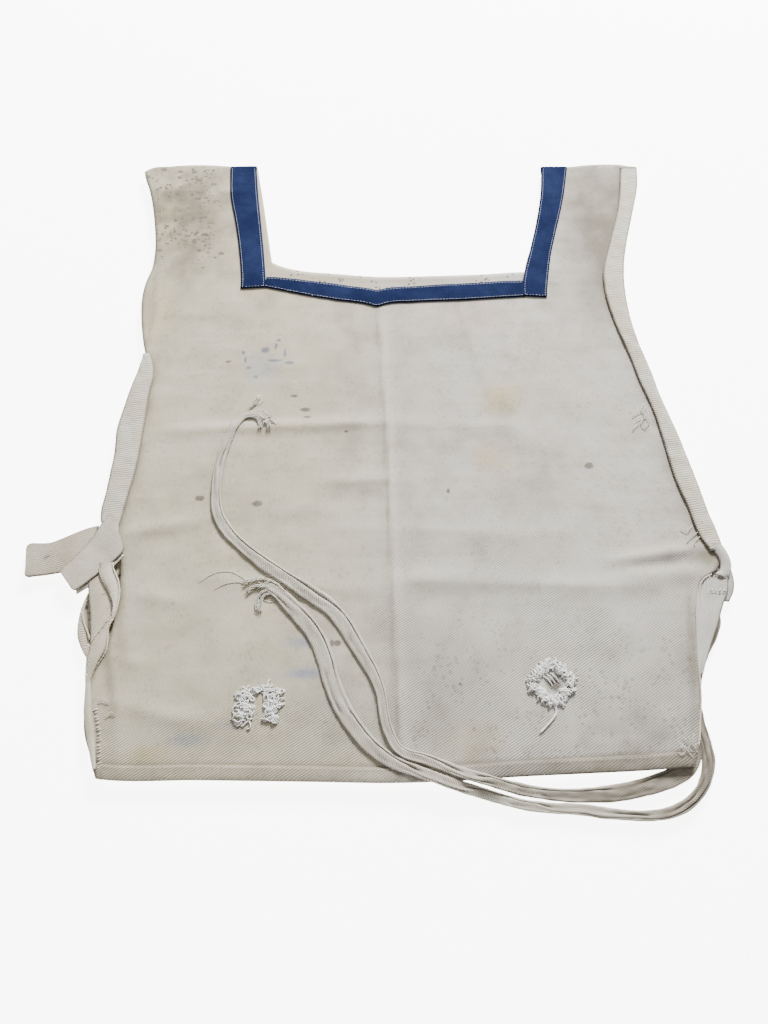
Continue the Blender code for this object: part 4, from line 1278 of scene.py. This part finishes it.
def make_left_side():
    """Twisted side hem below the left ties, and the whip stitches that close the corner."""
    dull, clean = (0.530, 0.470, 0.350, 1.0), (0.640, 0.590, 0.480, 1.0)
    cotton = ribbed_cotton("left_hem_cotton", dull, clean, 0.6, 0.0017, 0.16)
    for name, first, second, height in LEFT_LEAVES:
        leaf = ruled(name, first, second, 44, 10, height, cotton, 1.0, marks=LEAF_MARKS)
        finish(leaf, "front")
    rims = []
    for line, low, high in LEFT_RIMS:
        z = np.linspace(low, high, 26) + 0.25 * np.sin(np.linspace(0, 9, 26))
        rims.append(np.column_stack((resample(line, 26), z)))
    rolled = tubes("left_hem_rims", rims, 0.75, cotton, 8)
    finish(rolled, "front")
    low_hem = ruled("left_hem_low", LOW_HEM_OUT, LOW_HEM_IN, 40, 8,
                    lambda x, y, along, across: front_height(x, y) + 0.9 + 0.9 * np.sin(math.pi * across),
                    cotton, 0.8)
    finish(low_hem, "front")
    fold = ruled("left_back_turning", BACK_TURN_OUT, BACK_TURN_IN, 30, 7, arch(2.5, 0.5),
                 bpy.data.materials["facing_cotton"], 0.8)
    finish(fold, "back")
    thread = thread_material("hem_thread", (0.68, 0.65, 0.58, 1.0), (0.50, 0.47, 0.40, 1.0))
    paths = []
    for index, (x, y) in enumerate(resample(WHIPPED_SEAM, 17)):
        slant = 2.6 if index % 3 else 3.6
        across = np.array((-0.55, -0.2, 0.2, 0.55)) * slant
        flat = np.column_stack((x + across, y + across * 0.5 + 0.5 * math.sin(index * 2.3)))
        paths.append(laid(flat, np.array((-0.2, 0.5, 0.5, -0.2))))
    sewn = tubes("left_whip_stitches", paths, 0.6, thread, 6)
    finish(sewn, "front")
    hem_x, edge, upper = np.linspace(-222.0, 219.0, 220), np.linspace(190, 622, 150), np.linspace(398, 618, 90)
    turned = np.linspace(212, 386, 60)
    hem = []
    for x, y, lift in (
        (hem_x, HEM(hem_x) + HEM_DEPTH - 1.3, 0.62), (FACING_LEFT_IN(turned) - 2.4, turned, 1.75),
        (FACING_RIGHT_IN(edge) + 2.2, edge, 1.75), (FRONT_LEFT(upper) + 8.5, upper, 0.05),
    ):
        hem += laid_stitches(np.column_stack((x, y)), lift, 3.4 if x is hem_x else 3.6, 2.2)
    sewn = tubes("hem_stitches", hem, 0.22, thread, 5)
    finish(sewn, "front")


TAB_OVER_IN = ((257.5, 163.5), (253, 150), (249, 138), (246.6, 126), (244.4, 110), (243, 96), (242.6, 82))
TAB_OVER_OUT = ((280.5, 163), (279, 152), (273, 140), (265, 122), (256.5, 105), (250.5, 92), (246.6, 82))
TAB_UNDER_IN = ((262, 186), (263, 172), (264, 160), (266, 150), (268, 144))
TAB_UNDER_OUT = ((276, 190), (283.5, 178), (286, 168), (284.5, 152), (279.5, 143))
TAB_SEAM = ((260, 161.5), (278, 161.5), (277.6, 156), (276, 150.5), (266, 149.5), (258.5, 150))
HOLLOW_IN = ((254, 191), (257, 182), (259, 172), (258, 163))
HOLLOW_OUT = ((278, 190), (281, 181), (280, 172), (276, 163.5))
CURL_IN = ((266, 192), (271.5, 186.5), (275, 181), (276, 175), (274.5, 169.5), (270, 166))
CURL_OUT = ((279.2, 193), (282.4, 187), (284.6, 180), (284.6, 172), (282, 166), (277, 162.5))


def make_right_tab():
    """Root of the long ties on the right: a tab that curls out of the side, stitched down."""
    pale = ribbed_cotton("tab_cotton", (0.480, 0.455, 0.410, 1.0), (0.600, 0.575, 0.530, 1.0), 1.35, 0.0015, 0.12)

    def low_height(x, y, along, across):
        return 1.6 + 1.4 * np.sin(math.pi * along) * across

    tab = ruled("right_tab_under", TAB_UNDER_IN, TAB_UNDER_OUT, 34, 12, low_height, pale, 1.1)
    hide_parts("right_tie_tab")
    finish(tab, "front")

    def top_height(x, y, along, across):
        return 3.5 + 1.4 * smooth_step(0.05, 0.3, across) + 0.35 * np.sin(9 * along + 3 * across) * (1 - along)

    top = ruled("right_tab_over", TAB_OVER_IN, TAB_OVER_OUT, 50, 12, top_height, pale, 0.9)
    finish(top, "front")
    thread = bpy.data.materials["hem_thread"]
    box = resample(TAB_SEAM, 60)
    paths = stitches(np.column_stack((box, np.full(len(box), 5.3))), 3.0, 2.1, 0.2)
    for row, count in ((163.2, 5), (151.5, 4)):
        for index in range(count):
            x = 264 + 3.4 * index
            tack = ((0.0, -1.6, 5.0), (0.7, -0.4, 5.9), (1.6, 0.9, 5.8), (2.2, 1.8, 5.1))
            paths.append(np.array(tack) + np.array((x, row, 0.0)))
    sewn = tubes("right_tab_stitches", paths, 0.42, thread, 5)
    finish(sewn, "front")

    # a dark sheet inside the fold by the curl: painted shade of the hollow
    dull, clean = (0.200, 0.185, 0.130, 1.0), (0.300, 0.280, 0.210, 1.0)
    shade_cloth = ribbed_cotton("hollow_shade_cotton", dull, clean, 0.6, 0.0017, 0.2)
    hollow_shade = ruled("right_side_hollow_shade", HOLLOW_IN, HOLLOW_OUT, 20, 12, arch(3.0, 0.3), shade_cloth, 0.8)
    finish(hollow_shade, "front")
    edge = np.linspace(166.0, 26.0, 70)
    path = laid(np.column_stack((FRONT_RIGHT(edge) - 0.2, edge)), 0.1 + 0.3 * np.sin(edge / 9.0))
    rim = tubes("right_edge_rim", [path], 0.8, bpy.data.materials["left_hem_cotton"], 8)
    finish(rim, "front")
    curl = ruled("right_side_curl", resample(CURL_IN, 30), resample(CURL_OUT, 30), 30, 9,
                 lambda x, y, along, across: 5.6 + 2.4 * np.sin(math.pi * (0.15 + 0.7 * across)) - 1.0 * along,
                 pale, 0.9)
    finish(curl, "front")


# ---------------------------------------------------------------- darned buttonholes and loose threads
def thread_loops(centre, placing, count, seed, z_lift):
    """Wandering darning threads; placing gives a start, a heading and a length from three random shares."""
    random = np.random.RandomState(seed)
    paths = []
    for _ in range(count):
        (x, y), heading, length = placing(*random.uniform(size=3))
        bend = random.normal(0.0, 1.1)
        swing = random.uniform(0.4, 1.3)
        turn = random.uniform(0, 2 * math.pi)
        lift = z_lift * random.uniform(0.25, 1.0)
        paths.append(wandering(
            (centre[0] + x, centre[1] + y), length,
            lambda share: heading + bend * (share - 0.5) + swing * math.sin(turn + 5 * share),
            lambda share: 0.35 + lift * math.sin(math.pi * share),
        ))
    return paths


def make_darns():
    """Buttonholes closed over with thick white darning, one on each side."""
    white = thread_material("darning_cotton", (0.86, 0.86, 0.84, 1.0), (0.70, 0.69, 0.66, 1.0), 0.7)

    def left_place(first, second, third):
        side = -1.0 if first < 0.5 else 1.0
        share = (first * 2) % 1.0
        x = side * (3.4 + 10.5 * share)
        y = -13.0 + 25.0 * second
        return (x, y), (0.0 if side > 0 else math.pi) + (third - 0.5) * 2.4, 6.0 + 4.5 * third

    def top_place(first, second, third):
        return (-7.0 + 13.0 * first, 8.5 + 4.5 * second), (third - 0.5) * 2.0, 5.0 + 3.0 * third

    middle = (-107.0, 58.0)
    paths = thread_loops(middle, left_place, 165, 5, 1.9) + thread_loops(middle, top_place, 16, 6, 1.6)
    left = tubes("left_darn", paths, 0.55, white, 6)
    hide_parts("left_buttonhole_darn")

    def right_place(first, second, third):
        angle = 2 * math.pi * first
        radius = 8.6 + 6.0 * second
        radius *= 1.0 + 0.12 * math.cos(angle * 4)
        at = (radius * math.cos(angle), radius * math.sin(angle))
        return at, angle + (third - 0.5) * 1.8, 5.0 + 3.2 * third

    paths = thread_loops((125.0, 75.0), right_place, 270, 9, 2.1)
    for reach, height in (((-8, 5), 1.8), ((-6, 7), 2.4), ((-3, 8), 2.0)):
        t = np.linspace(0, 1, 9)
        arc = 5.6 + height * np.sin(math.pi * t)
        paths.append(np.column_stack((125 + reach[0] + 9 * t, 75 + reach[1] - 9 * t * t, arc)))
    hang = laid(resample(((121, 60), (125, 57), (126, 52), (122, 46), (116, 40), (112, 36)), 16), 0.7)
    paths += [hang, hang + np.array((0.8, 0.3, 0.3))]
    right = tubes("right_darn", paths, 0.55, white, 6)
    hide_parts("right_buttonhole_darn")
    for piece in (left, right):
        finish(piece, "front")


LOOSE_THREADS = (
    ((233, 332), (229, 326), (232, 318), (227, 312), (231, 304)),
    ((235, 330), (231, 322), (235, 313), (230, 306)), ((232, 325), (224, 322), (219, 317)),
    ((230, 314), (222, 309), (218, 303)), ((234, 318), (227, 317), (222, 313)),
    ((258, 210), (252, 205), (247, 207)), ((262, 204), (254, 199), (250, 193)),
    ((264, 200), (258, 196), (256, 190)), ((222, 33), (226, 29), (224, 22)), ((226, 34), (229, 27), (232, 21)),
    ((216, 25), (222, 26), (229, 22)), ((218, 30), (223, 24), (228, 17)), ((231, 36), (229, 30), (233, 25)),
    ((224, 25), (219, 20), (216, 22)), ((-226, 48), (-221, 52), (-218, 50)),
    ((-233, 60), (-229, 62), (-224, 59)),
)


def make_loose_threads():
    thread = bpy.data.materials["hem_thread"]
    lift = 0.5 + 1.3 * np.sin(np.linspace(0.3, math.pi - 0.3, 10))
    paths = [laid(resample(line, 10), lift) for line in LOOSE_THREADS]
    frays = tubes("loose_threads", paths, 0.32, thread, 5)
    finish(frays, "front")


# ---------------------------------------------------------------- light, floor and camera
CAMERA_AT = (-8.3, -44.1, 619.9)
CAMERA_TILT = math.radians(23.5)
LENS = 27.04


def make_stage():
    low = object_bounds()[0]
    mesh = bpy.data.meshes.new("floor")
    half = 3.0
    level = low.z - 0.0035               # clear of the front when it is opened right over
    corners = [(-half, -half, level), (half, -half, level), (half, half, level), (-half, half, level)]
    mesh.from_pydata(corners, [], [(0, 1, 2, 3)])
    floor = bpy.data.objects.new("floor", mesh)
    bpy.context.scene.collection.objects.link(floor)
    mesh.materials.append(floor_material())
    world = bpy.data.worlds.new("studio")
    bpy.context.scene.world = world
    world.use_nodes = True
    background = world.node_tree.nodes["Background"]
    background.inputs["Color"].default_value = (1.0, 1.0, 1.0, 1.0)
    background.inputs["Strength"].default_value = 0.32
    for name, place_at, power, size in (
        ("key_light", (0.75, 2.5, 1.45), 345.0, 0.7),
        ("fill_light", (-1.2, 0.4, 1.6), 9.0, 1.6),
    ):
        light = bpy.data.lights.new(name, "AREA")
        light.energy = power
        light.size = size
        lamp = bpy.data.objects.new(name, light)
        lamp.location = place_at
        lamp.rotation_euler = (Vector((0.0, 0.0, 0.0)) - Vector(place_at)).to_track_quat("-Z", "Y").to_euler()
        bpy.context.scene.collection.objects.link(lamp)


def make_camera():
    data = bpy.data.cameras.new("camera")
    data.sensor_width = 36.0
    data.lens = LENS
    camera = bpy.data.objects.new("camera", data)
    camera.location = spot(*CAMERA_AT)
    camera.rotation_euler = (CAMERA_TILT, 0.0, 0.0)
    bpy.context.scene.collection.objects.link(camera)
    bpy.context.scene.camera = camera


make_camera()
make_stage()
make_ties()
make_cloth()
make_neck_band()
make_facings()
make_stubs()
make_left_side()
make_right_tab()
make_darns()
make_loose_threads()
